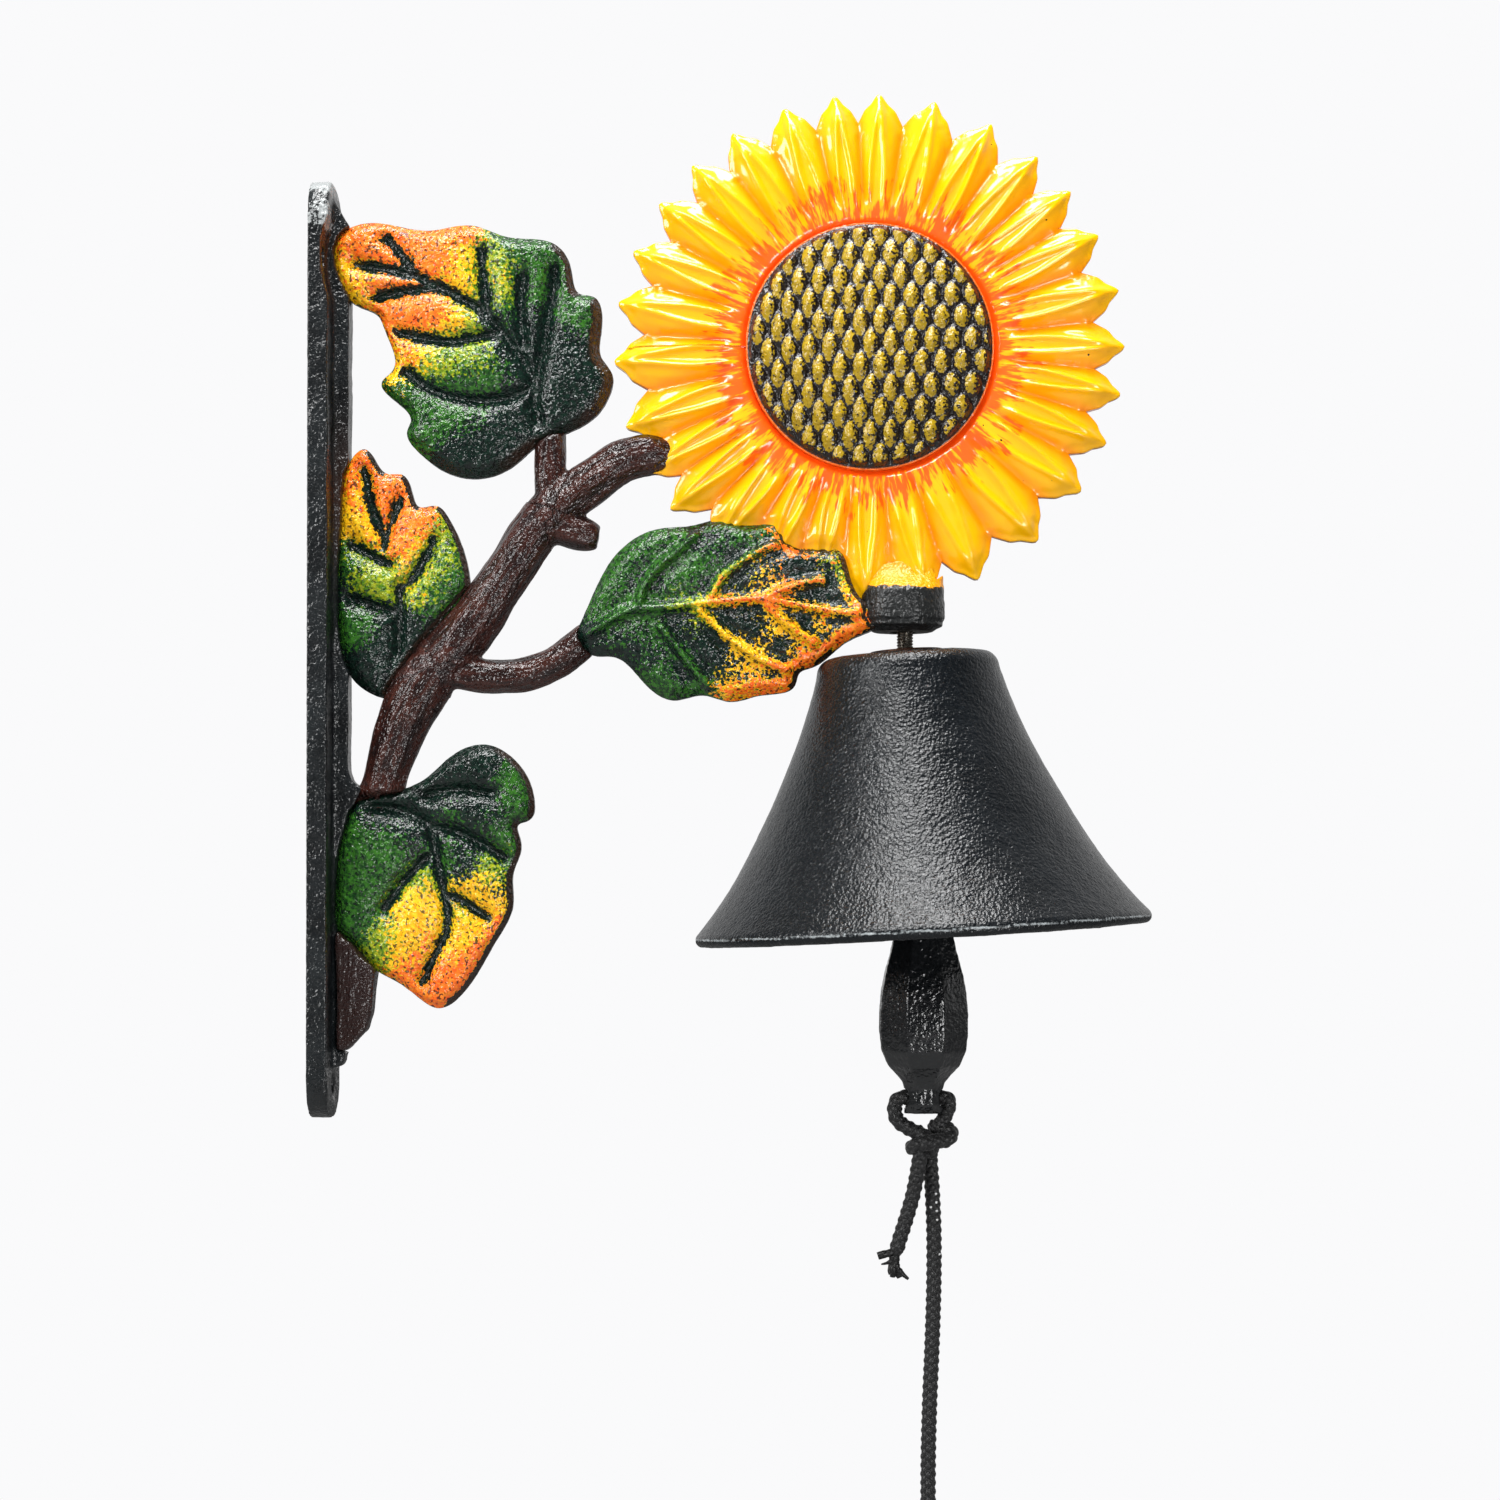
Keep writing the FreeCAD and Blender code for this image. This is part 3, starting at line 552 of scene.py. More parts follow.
def boss_material():
    """Black below, and the sunflower's yellow lapped raggedly over the top."""
    paint = Paint("boss_paint")
    fine = paint.noise(0.8, 3.0, 0.6)
    colour = paint.blend(fine, screen(12, 13, 14), screen(36, 38, 38))
    ragged = paint.plus(paint.kept("height"), paint.times(paint.noise(2.2, 3.0), 3.4))
    colour = paint.blend(paint.band(ragged, 16.1, 16.3), colour, screen(240, 160, 0))
    return paint.finish(
        colour, 0.34, cast_bumps(paint, grit=0.42, lumps=0.4), coat=0.2, coat_roughness=0.2
    )


def steel_material(name, colour, stain, rough):
    """Plated steel with faint turning marks and stains."""
    paint = Paint(name)
    stretched = paint.add("ShaderNodeMapping", {"Vector": paint.place, "Scale": (1.0, 1.0, 9.0)})
    marks = paint.noise(1.2, 3.0, 0.6, where=stretched.outputs[0])
    spots = paint.band(paint.noise(1.4, 3.0, 0.6, shift=0.3), 0.45, 0.7)
    tone = paint.blend(spots, screen(*colour), screen(*stain))
    roughness = paint.band(marks, 0.3, 0.7, rough, rough + 0.15)
    return paint.finish(tone, roughness, paint.bump(marks, 0.03), metallic=1.0)


def cord_material():
    """Black braid, each yarn a bundle of fine glossy filaments, with painted shade where the yarns
    dip.
    """
    paint = Paint("cord_braid")
    yarn = paint.kept("yarn", "Vector")
    stretched = paint.add("ShaderNodeMapping", {"Vector": yarn, "Scale": (1.0, 0.12, 1.0)})
    filament = paint.noise(0.22, 2.0, 0.5, where=stretched.outputs[0])
    depth = paint.kept("depth")
    colour = paint.blend(filament, screen(8, 8, 9), screen(38, 38, 39))
    # Darker where the yarns dip between each other: painted shade in the braid's crevices.
    colour = paint.blend(paint.band(depth, 0.15, 0.7), screen(4, 4, 5), colour)
    fleck = paint.band(paint.noise(0.5, 1.0, shift=0.6), 0.74, 0.78)
    colour = paint.blend(paint.times(fleck, 0.5), colour, screen(90, 90, 92))
    colour = paint.blend(paint.band(paint.kept("pin"), 0.4, 0.6), colour, screen(225, 226, 226))
    normal = paint.bump(filament, 0.06)
    material = paint.finish(colour, 0.42, normal, specular=0.5)
    paint.shader.inputs["Sheen Weight"].default_value = 0.15
    paint.shader.inputs["Sheen Roughness"].default_value = 0.4
    return material


# ---------------- cords
def nurbs_points(name, route):
    """Points read from a smooth NURBS line with the route as its control points, in millimetres."""
    line = bpy.data.curves.new(name, "CURVE")
    line.dimensions = "3D"
    line.resolution_u = 24
    spline = line.splines.new("NURBS")
    spline.points.add(len(route) - 1)
    for point, place in zip(spline.points, route):
        point.co = (*(c * MM for c in place), 1.0)
    spline.order_u = 3
    spline.use_endpoint_u = True
    thing = bpy.data.objects.new(name, line)
    read = points_of(bpy.data.meshes.new_from_object(thing))
    bpy.data.objects.remove(thing)
    return read


def evenly(points, step):
    gaps = np.linalg.norm(np.diff(points, axis=0), axis=1)
    reached = np.concatenate([[0], np.cumsum(gaps)])
    marks = np.linspace(0, reached[-1], max(8, int(reached[-1] / step)))
    return np.stack([np.interp(marks, reached, points[:, i]) for i in range(3)], axis=1), marks


def rings_round(line, around):
    """Unit directions round each point of a line, carried along it without twisting."""
    ahead = np.gradient(line, axis=0)
    ahead /= np.linalg.norm(ahead, axis=1)[:, None]
    side = np.cross(ahead[0], (0.0, 1.0, 0.0))
    side /= np.linalg.norm(side)
    turns = np.arange(around) / around * 2 * math.pi
    rings = np.empty((len(line), around, 3))
    for i, forward in enumerate(ahead):
        side = side - forward * (side @ forward)
        side /= np.linalg.norm(side)
        other = np.cross(forward, side)
        rings[i] = np.cos(turns)[:, None] * side + np.sin(turns)[:, None] * other
    return rings, turns


def tube(name, line, radii, rings):
    """A closed tube: radii has one row for each ring."""
    count, around = radii.shape
    shell = line[:, None, :] + rings * radii[:, :, None]
    points = np.concatenate([shell.reshape(-1, 3), line[:1], line[-1:]])
    faces = []
    for i in range(count - 1):
        for j in range(around):
            k = (j + 1) % around
            here, there = i * around, (i + 1) * around
            faces.append((here + j, there + j, there + k, here + k))
    first, last, end = count * around, count * around + 1, (count - 1) * around
    for j in range(around):
        k = (j + 1) % around
        faces.append((first, j, k))
        faces.append((last, end + k, end + j))
    return piece_from(name, points, faces)


BRAID_YARNS = 4
BRAID_PITCH = 2.05
BRAID_DEPTH = 0.36
BRAID_PROUD = 0.08


def braid(name, route, step=0.13, around=56, thickness=CORD_DIA, drawn_in=None):
    """A braided cord along a route: yarns cross over and under each other in two directions.
    drawn_in is where along it, in millimetres, a melted end starts to thin."""
    centre = nurbs_points(name + "_line", route)
    line, marks = evenly(centre, step)
    rings, turns = rings_round(line, around)
    turn, along = np.meshgrid(turns / (2 * math.pi) * BRAID_YARNS, marks / BRAID_PITCH)
    left, right = turn + along, turn - along
    over = (np.floor(left) + np.floor(right)) % 2 < 1
    across = np.where(over, left % 1, right % 1) - 0.5
    length = np.where(over, right % 1, left % 1) - 0.5
    swell = np.cos(across * math.pi * 0.94) ** 0.7 * (0.55 + 0.45 * np.cos(length * math.pi * 0.9))
    radii = thickness / 2 - BRAID_DEPTH + (BRAID_DEPTH + BRAID_PROUD) * swell
    ends = np.minimum(marks, marks[-1] - marks)
    radii *= (0.55 + 0.45 * ramp(ends, 0, 0.9))[:, None]
    if drawn_in:
        radii *= (1 - 0.45 * ramp(marks, drawn_in, drawn_in + 1.6))[:, None]
    thing = tube(name, line, radii, rings)
    keep_value(thing.data, "depth", np.concatenate([swell.ravel(), np.zeros(2)]))
    yarn = np.stack([across, length + along, np.floor(left) * over], axis=2).reshape(-1, 3) * MM * 2
    keep_vector(thing.data, "yarn", np.concatenate([yarn, np.zeros((2, 3))]))
    return thing, centre * MM


# The tail's frayed yarns: four points of a route, the yarn's radius, and how much it tapers
FRAYED_YARNS = [
    ([(137.2, -1.7, -141.2), (136.2, -1.9, -141.9), (134.6, -2.2, -142.1), (133.0, -2.2, -142.6)],
     0.86, 0.0),
    ([(137.2, -1.7, -142.6), (137.1, -2.0, -144.6), (138.2, -2.2, -146.4), (140.2, -2.0, -148.0)],
     1.05, 0.7),
    ([(136.9, -1.5, -142.8), (136.9, -1.8, -144.8), (137.6, -1.6, -146.4), (138.2, -1.6, -147.7)],
     1.15, 0.45),
    ([(136.9, -1.8, -142.8), (136.7, -2.1, -144.6), (136.6, -2.2, -146.2), (136.5, -2.0, -147.5)],
     1.15, 0.45),
    ([(136.8, -1.5, -143.0), (136.3, -1.3, -144.8), (135.7, -1.2, -146.0), (136.0, -1.2, -147.0)],
     0.8, 0.5),
    ([(137.0, -1.7, -143.2), (136.0, -2.3, -143.9), (134.9, -2.5, -144.3), (133.8, -2.4, -144.5)],
     0.62, 0.75),
]
YARN_SIDES = 20


def frayed_end(name):
    """The tail's cut end: one yarn melted to a stub, the rest flared into ragged blades."""
    made = []
    for i, (route, radius, taper) in enumerate(FRAYED_YARNS):
        line, marks = evenly(nurbs_points(f"{name}_{i}", route), 0.14)
        rings, _ = rings_round(line, YARN_SIDES)
        share = marks / marks[-1]
        rough = grain(np.repeat(line, YARN_SIDES, axis=0), 0.7, 40 + i)
        ragged = 1 + 0.22 * rough.reshape(len(line), YARN_SIDES)
        radii = radius * (1 - taper * share[:, None] ** 1.6) * ragged
        made.append(tube(f"{name}_{i}", line, radii, rings))
    return joined(name, made)


def joined(name, parts):
    """Several pieces as one, with their kept values."""
    shape = bmesh.new()
    for part in parts:
        shape.from_mesh(part.data)
    mesh = bpy.data.meshes.new(name)
    shape.to_mesh(mesh)
    shape.free()
    for part in parts:
        bpy.data.objects.remove(part)
    return link(name, mesh)


def dress(thing, material, body, slot, *nodes):
    """Gives a piece its material and body, and hides the CAD nodes it stands for. slot is not used.
    """
    thing.data.materials.clear()
    thing.data.materials.append(material)
    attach(thing, body)
    if nodes:
        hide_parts(*nodes)
    return thing


# White flecks in the pull cord's braid, as (x, z)
PULL_PINS = [
    (146.8, -128.2), (146.9, -130.2), (147.0, -132.2), (147.1, -134.3), (145.6, -131.3),
    (147.7, -142.4),
]
PIN_WIDE = 0.34


def make_cords():
    black = cord_material()
    loop, loop_path = braid("loop_braid", LOOP_ROUTE)
    pull, pull_path = braid("pull_braid", PULL_ROUTE)
    tail, tail_path = braid("tail_braid", TAIL_ROUTE, drawn_in=24.4)
    wrap, _ = braid("knot_wrap", KNOT_WRAP, thickness=3.7)
    through, _ = braid("knot_through", KNOT_THROUGH, thickness=3.5)
    knot = joined("knot_braid", [wrap, through])
    places = points_of(pull.data)
    front = places[:, 1] < np.median(places[:, 1])
    gaps = [np.hypot(places[:, 0] - x, places[:, 2] - z) for x, z in PULL_PINS]
    pins = [bell_curve(gap, PIN_WIDE) for gap in gaps]
    keep_value(pull.data, "pin", np.max(pins, axis=0) * front)
    end_knot, _ = braid("end_knot_braid", END_KNOT_ROUTE, thickness=3.2)
    frayed = frayed_end("tail_fray")
    for thing, node in (
        (loop, "cord_loop"), (pull, "pull_cord"), (tail, "cord_tail"),
        (knot, "cord_knot"), (end_knot, "cord_end_knot"),
    ):
        dress(thing, black, "cord", "cord", node)
    dress(frayed, black, "cord", "cord")


# ---------------- leaves
LEAF_VOXEL = 0.42
LEAF_EDGE = 1.2
LEAF_STEEP = 3.2
LEAF_REACH = 12.0


def brush_field(points, samples, letter, spread=3.6):
    """How much of the nearby painting is that letter's colour, from 0 to 1."""
    x, z = points[:, 0], points[:, 2]
    wanted, total = np.zeros(len(points)), np.full(len(points), 1e-9)
    for key, places in samples.items():
        for px, pz in places:
            weight = np.exp(-((x - px) ** 2 + (z - pz) ** 2) / (2 * spread**2))
            total += weight
            if key == letter:
                wanted += weight
    return wanted / total


def paint_leaf(thing, points, paints, bare_and_shade, inside):
    """Keeps each paint's cover on the leaf. Each colour lies over the one before it."""
    normals = normals_of(thing.data)
    side = ramp(normals[:, 0], 0.2, 0.5) * (1 - ramp(inside, 0.7, 1.2))
    keep_value(thing.data, "side", side)
    reached = ramp(np.abs(normals[:, 1]), 0.35, 0.75) * (1 - bare_and_shade) * (1 - side)
    shares = {letter: brush_field(points, paints, letter) for letter in "OYLG"}
    cover = 0.0
    for letter, name in (("O", "orange"), ("Y", "yellow"), ("L", "light"), ("G", "green")):
        cover = cover + shares[letter]
        keep_value(thing.data, name, cover * reached)


def grooves_cut(points, grooves, drawn, wander):
    """How far a leaf sinks into its grooves, how bare of paint it is along them, and how much
    painted shade darkens it beside them.
    """
    gap, _ = nearest_on(points, [rounded(line) for line in grooves])
    groove = 1.1 * bell_curve(gap, 1.5)
    hollow = 2.5 * np.exp(-gap / 3.2)
    # Bare dark paint along each groove, plus a broad darkening beside it that is painted shade.
    bare_and_shade = np.clip(bell_curve(gap + wander, drawn) + 0.35 * np.exp(-gap / 2.5), 0, 1)
    return -groove - hollow, bare_and_shade


def veins_raised(points, veins, inside, wander):
    """How far a leaf rises along its veins, and how bare of paint it is between them."""
    gap, _ = nearest_on(points, [rounded(line) for line in veins])
    ridge = 1.5 * bell_curve(gap, 0.95)
    ditch = 0.75 * bell_curve(gap - 2.4, 1.4)
    between = ramp(gap + 0.6 * wander, 0.8, 1.8) * ramp(inside, 1.6, 4.4)
    near_tip = 0.35 + 0.6 * ramp(points[:, 0], 84, 98)
    bare_and_shade = near_tip * between * (0.85 + 0.6 * grain(points, 5.0, 92))
    bare_and_shade = np.clip(bare_and_shade - 0.5 * bell_curve(gap, 1.0), -0.5, 1)
    return ridge - ditch, bare_and_shade


def leaf(node, paints, grooves=(), veins=(), forward=None, crown=4.9, bare=0.9, drawn=1.2):
    """A cast leaf: soft-sided, pillowed between its grooves or crossed by raised veins.
    bare is how wide its brown side shows, and drawn how wide the dark in its grooves is."""
    thing = skin(node + "_cast", [node], LEAF_VOXEL)
    points = points_of(thing.data)
    half = np.abs(points[:, 1]).max()
    inside = rim_distance(points, normals_of(thing.data))
    points = swollen(thing, points, inside, 0.3)
    thick = pillow(inside, LEAF_EDGE, crown, LEAF_STEEP, LEAF_REACH)
    wander = 0.7 * grain(points, 2.0, 91)
    if grooves:
        lift, bare_and_shade = grooves_cut(points, grooves, drawn, wander)
    else:
        lift, bare_and_shade = veins_raised(points, veins, inside, wander)
    fade = ramp(inside, 0.4, 3.0)
    thick = thick + lift * fade + 0.16 * grain(points, 3.0, 5) * fade
    share = points[:, 1] / half
    points[:, 1] = share * thick
    if forward:
        points[:, 1] += forward(points) * np.clip(-share, 0, 1)
    move_to(thing.data, points)
    relax(thing, 1)
    points = points_of(thing.data)
    sand(thing, points, 0.05, 7)
    paint_leaf(thing, points, paints, bare_and_shade * fade, inside / bare)
    return thing


def sand(thing, points, depth, seed, size=1.0):
    """Sand-cast grain, as real bumps along the normals."""
    bumps = grain(points, size, seed) * 0.7 + grain(points, size * 0.55, seed + 1) * 0.4
    move_to(thing.data, points + normals_of(thing.data) * (bumps * depth)[:, None])


def tip_forward(points):
    """The front leaf's tip is cast forward, over the boss."""
    return -3.6 * ramp(points[:, 0], 121.0, 130.0)


def make_leaves():
    paint = leaf_material()
    made = {
        "upper_leaf": leaf("upper_leaf", UPPER_PAINT, UPPER_GROOVES, bare=2.2, drawn=1.35),
        "middle_leaf": leaf("middle_leaf", MIDDLE_PAINT, MIDDLE_GROOVES, drawn=0.95),
        "lower_leaf": leaf("lower_leaf", LOWER_PAINT, LOWER_GROOVES, crown=5.0, drawn=0.9),
        "front_leaf": leaf("front_leaf", FRONT_PAINT, veins=FRONT_VEINS, forward=tip_forward),
    }
    for node, thing in made.items():
        dress(thing, paint, "root", "leaf_paint", node)


# ---------------- sunflower
def middle_of(node):
    low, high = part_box(node)
    return (low + high) / 2 / MM


def petal_place(angle):
    """For each direction about the flower: the petal's number, and -1 to 1 across that petal."""
    tips = np.array(PETAL_TIPS)
    gap = (angle[:, None] - tips[None, :] + 180) % 360 - 180
    number = np.abs(gap).argmin(axis=1)
    off = gap[np.arange(len(angle)), number]
    steps = np.diff(np.concatenate([tips, [tips[0] + 360]]))
    after, before = steps[number], np.roll(steps, 1)[number]
    return number, off / (np.where(off > 0, after, before) / 2)


PETAL_VOXEL = 0.42
PETAL_SEED = 11
RIB_HIGH, RIB_WIDE = 1.7, 0.12
VALLEY_DEEP, VALLEY_WIDE = 1.5, 0.26
TIP_DRAWN = 1.3
RIM_RADIUS = 30.2


def about(centre, points):
    """Each point's x and z from the flower's middle, and its distance from there."""
    x, z = points[:, 0] - centre.x, points[:, 2] - centre.z
    return x, z, np.hypot(x, z)


def petal_relief(radius, number, across, inside):
    """What ribs, valleys, tilts and the seed head's rim add to the thickness, and the valleys."""
    random = np.random.default_rng(PETAL_SEED)
    count = len(PETAL_TIPS)
    rib = random.uniform(0.5, 1.0, count)
    tilt = random.uniform(-0.45, 0.45, count)
    start = random.uniform(31, 36, count)
    closing = 0.46 * (1 - 0.8 * ramp(radius, 38, 58))
    along = ramp(radius, start[number], start[number] + 6) * (1 - ramp(radius, 52, 58))
    ribs = bell_curve(np.abs(across) - closing, RIB_WIDE) * rib[number] * along
    valley = bell_curve(1 - np.abs(across), VALLEY_WIDE) * ramp(radius, 30, 38)
    relief = RIB_HIGH * ribs - VALLEY_DEEP * valley * ramp(inside, 0.0, 3.0)
    relief += tilt[number] * across * along
    relief += 0.5 * bell_curve(radius - RIM_RADIUS, 1.2) * ramp(radius, 29, 30)
    return relief, valley


def keep_petal_paint(mesh, points, centre, across, valley):
    x, z, radius = about(centre, points)
    turn = np.arctan2(z, x)
    reach = 40 + 3.5 * grain(np.stack([turn * 40, turn * 0, turn * 0], axis=1), 6.0, 3)
    solid = 1.2 * (1 - ramp(radius, 29.0, 31.0))
    keep_value(mesh, "brush", solid + 0.95 * (1 - ramp(radius, 30.0, reach + 7)))
    # The valley value darkens the petal paint: painted shade in the valleys and towards each
    # petal's sides.
    keep_value(mesh, "valley", valley * 0.75 + 0.2 * ramp(np.abs(across), 0.2, 0.8))
    keep_vector(mesh, "ray", np.stack([turn * 38, radius * 0.16, points[:, 1] * 0.3], axis=1) * MM)


def make_petals():
    """The ring of petals: each has two ribs that close towards its tip, and a valley each side."""
    thing = skin("petal_ring_cast", ["petal_ring"], PETAL_VOXEL)
    centre = middle_of("seed_head")
    points = points_of(thing.data)
    half = np.abs(points[:, 1]).max()
    inside = rim_distance(points, normals_of(thing.data))
    points = swollen(thing, points, inside, 0.8)
    x, z, radius = about(centre, points)
    number, across = petal_place(np.degrees(np.arctan2(z, x)) % 360)
    relief, valley = petal_relief(radius, number, across, inside)
    points[:, 1] = points[:, 1] / half * (pillow(inside, 1.6, 4.15, 3.4, 11.0) + relief)
    drawn = TIP_DRAWN * ramp(radius, 50, 59) * np.clip(1 - np.abs(across) / 0.35, 0, 1)
    points[:, 0] += drawn * x / radius
    points[:, 2] += drawn * z / radius
    move_to(thing.data, points)
    relax(thing, 2)
    keep_petal_paint(thing.data, points_of(thing.data), centre, across, valley)
    return dress(thing, petal_material(), "root", "petal_paint", "petal_ring")


SEED_PITCH = 4.8
SEED_ROW = 5.3
SEED_WIDE, SEED_TALL = 2.45, 4.9
SEED_SKEW = 0.07
SEED_LIFT = 2.0
HEAD_EDGE = 28.8


def seed_lattice(x, z):
    """For each place: how far into its seed, from 0 at the edge to 1 at the top, and which side."""
    best, side = np.zeros(len(x)), np.zeros(len(x))
    for shift in (0.0, 0.5):
        row = np.round((z - SEED_SKEW * x) / (2 * SEED_ROW) - shift) + shift
        column = np.round(x / SEED_PITCH - shift) + shift
        slim = 1.0 + 0.004 * x
        dx = x - column * SEED_PITCH
        dz = (z - (row * 2 * SEED_ROW + SEED_SKEW * x)) * (1 + 0.012 * np.maximum(x, 0))
        gap = np.sqrt((dx / (SEED_WIDE * slim)) ** 2 + np.abs(dz / SEED_TALL) ** 1.7)
        rise = np.clip(1 - gap, 0, 1)
        side = np.where(rise > best, dx, side)
        best = np.maximum(best, rise)
    return best, side


def make_seed_head():
    thing = skin("seed_head_cast", ["seed_head"], 0.36)
    centre = middle_of("seed_head")
    points = points_of(thing.data)
    x, z, radius = about(centre, points)
    facing = ramp(np.abs(normals_of(thing.data)[:, 1]), 0.5, 0.8)
    rise, side = seed_lattice(x, z)
    lift = SEED_LIFT * np.sqrt(np.clip(rise - 0.12, 0, 1)) * facing
    lift *= 1 - ramp(radius, HEAD_EDGE - 1.4, HEAD_EDGE)
    points[:, 1] += np.sign(points[:, 1]) * (lift - 0.35 * facing)
    move_to(thing.data, points)
    relax(thing, 1)
    points = points_of(thing.data)
    sand(thing, points, 0.10, 21, 0.7)
    thin = ramp(x * 0.75 - z * 0.66, 8, 27)
    gold = 0.86 * ramp(rise, 0.16, 0.34) - 0.42 * ramp(side, 0.0, 1.2) - 0.12 * thin
    gold -= 0.9 * ramp(radius, 27.0, 28.4)
    keep_value(thing.data, "gold", gold)
    keep_value(thing.data, "rim", ramp(radius, 28.75, 28.95))
    return dress(thing, seed_material(), "root", "seed_paint", "seed_head")


# ---------------- branch, plate and boss
BRANCH_VOXEL, PLATE_VOXEL, BOSS_VOXEL = 0.42, 0.5, 0.35
BOSS_WIDE, BOSS_DEEP = 10.0, 9.2


def make_branch():
    nodes = ["main_branch", "branch_knob", "upper_twig", "front_twig", "root_stub"]
    thing = skin("branch_cast", nodes, BRANCH_VOXEL)
    points = points_of(thing.data)
    limbs = [MAIN_BRANCH, FRONT_TWIG, UPPER_TWIG, BRANCH_KNOB, ROOT_LINE]
    gap, along = nearest_on(points, [rounded(line) for line in limbs])
    relax(thing, 5)
    points = points_of(thing.data)
    under_petals = ramp(points[:, 0], 79.0, 86.0)
    points[:, 0] += 4.5 * under_petals
    points[:, 1] *= 1 - 0.45 * under_petals
    behind_leaf = ramp(-points[:, 2], 33.0, 36.5) * (1 - ramp(-points[:, 2], 60, 64))
    points[:, 1] *= 1 - 0.87 * behind_leaf
    move_to(thing.data, points)
    flow = np.stack([along * 0.2, gap, points[:, 1]], axis=1)
    normals = normals_of(thing.data)
    bark = 0.34 * grain(flow, 2.2, 31) + 0.30 * grain(points, 5.0, 32)
    move_to(thing.data, points + normals * bark[:, None])
    sand(thing, points_of(thing.data), 0.05, 33)
    keep_vector(thing.data, "flow", flow * MM)
    keep_value(thing.data, "root", ramp(-points[:, 2], 50, 70))
    return dress(thing, wood_material(), "root", "brown_paint", *nodes)


def make_plate():
    thing = skin("plate_cast", ["wall_plate", "plate_rib"], PLATE_VOXEL)
    relax(thing, 4)
    points = points_of(thing.data)
    normals = normals_of(thing.data)
    front = ramp(points[:, 0], 0.3, 1.2)
    lumps = 0.22 * grain(points, 6.0, 51) + 0.10 * grain(points, 2.0, 52)
    move_to(thing.data, points + normals * (lumps * front)[:, None])
    sand(thing, points_of(thing.data), 0.06, 53)
    x, z = points[:, 0], points[:, 2]
    # Browned on the seat's forward-facing part round z 91, and on the rib's side round z 35.
    seat_brown = bell_curve(z - 91, 9) * ramp(normals[:, 0], 0.2, 0.6)
    brown = seat_brown + bell_curve(z - 35, 14) * ramp(x, 4.0, 6.0)
    # Pale patches at the top and bottom ends: painted highlight and sheen where the rounded ends
    # face the light, mixed with wear.
    top_sheen_and_wear = (ramp(z, 96, 99) - 0.8 * bell_curve(z - 105, 2.0)) * (1 - ramp(x, 4.4, 5.4))
    bare = top_sheen_and_wear + 0.6 * ramp(-z, 107, 110)
    keep_value(thing.data, "brown", np.clip(brown, 0, 1))
    keep_value(thing.data, "sheen_and_wear", np.clip(bare * 0.85, 0, 1))
    return dress(thing, plate_material(), "root", "black_paint", "wall_plate", "plate_rib")


def make_boss():
    """The boss, its outline drawn in to an oval and narrowed towards the petals."""
    thing = skin("boss_cast", ["hanger_boss"], BOSS_VOXEL)
    points = points_of(thing.data)
    middle = middle_of("hanger_boss")
    x, y, z = points[:, 0] - middle.x, points[:, 1], points[:, 2]
    levels = np.arange(z.min(), z.max() + 0.5, 0.5)
    reach = np.array([np.hypot(x, y)[np.abs(z - level) < 0.6].max() for level in levels])
    full = np.interp(z, levels, reach)
    low = z.min()
    wide = BOSS_WIDE - 2.6 * ramp(z, low + 15.5, low + 19.0) - 0.5 * (1 - ramp(z, low, low + 1.6))
    deep = BOSS_DEEP - 5.0 * ramp(z, low + 9.0, low + 15.0)
    points[:, 0] = middle.x - 0.6 + x * wide / full
    points[:, 1] = y * deep / full
    move_to(thing.data, points)
    relax(thing, 3)
    points = points_of(thing.data)
    keep_value(thing.data, "height", points[:, 2])
    sand(thing, points, 0.10, 61)
    return dress(thing, boss_material(), "root", "black_paint", "hanger_boss")


# ---------------- bell, clapper and hook
BELL_VOXEL, CLAPPER_VOXEL = 0.7, 0.34
BELL_LEAN = 3.3
LIP_LINE, LIP_WIDE = 1.9, 0.55


def make_bell():
    thing = skin("bell_cast", ["bell"], BELL_VOXEL)
    relax(thing, 3)
    points = points_of(thing.data)
    normals = normals_of(thing.data)
    lumps = 0.12 * grain(points, 9.0, 71)
    move_to(thing.data, points + normals * lumps[:, None])
    sand(thing, points_of(thing.data), 0.06, 72, 1.5)
    x, y = points[:, 0] - middle_of("bell").x, points[:, 1]
    level = points[:, 2] - math.tan(math.radians(BELL_LEAN)) * x
    out = np.hypot(x, y)
    outward = (normals[:, 0] * x + normals[:, 1] * y) / out
    # A pale band just above the lip's edge on the outer face: a painted highlight along the lip, in
    # a worn-metal grey.
    highlight_and_wear = bell_curve(level - level.min() - LIP_LINE, LIP_WIDE)
    at_mouth = ramp(outward, 0.2, 0.5) * ramp(out, out.max() - 7, out.max() - 4)
    keep_value(thing.data, "lip_highlight", 0.8 * highlight_and_wear * at_mouth)
    paint = iron_material("bell_paint", (7, 11, 15), grit=0.30, rough=0.27, coat=0.05)
    return dress(thing, paint, "bell", "bell_paint", "bell")


def make_clapper():
    thing = skin("clapper_cast", ["clapper"], CLAPPER_VOXEL)
    relax(thing, 2)
    sand(thing, points_of(thing.data), 0.10, 82)
    paint = iron_material("clapper_paint", (12, 14, 16), grit=0.19, rough=0.2, coat=0.7)
    return dress(thing, paint, "clapper", "black_paint", "clapper")


THREAD_PITCH = 0.7
THREAD_DEPTH = 0.34
HOOK_BEND = 4.3
HOOK_END = -10.8
ROD_SIDES = 32


def hook_path(x, top, low):
    """The middle of the rod: straight down, half a turn round the hook, and up to its end."""
    turn = low + HOOK_BEND
    arc = [math.pi * (1 + step / 24) for step in range(1, 25)]
    path = [(x, 0, top), (x, 0, turn)]
    path += [(x + HOOK_BEND * (1 + math.cos(a)), 0, turn + HOOK_BEND * math.sin(a)) for a in arc]
    return np.array(path + [(x + 2 * HOOK_BEND, 0, HOOK_END)], float)


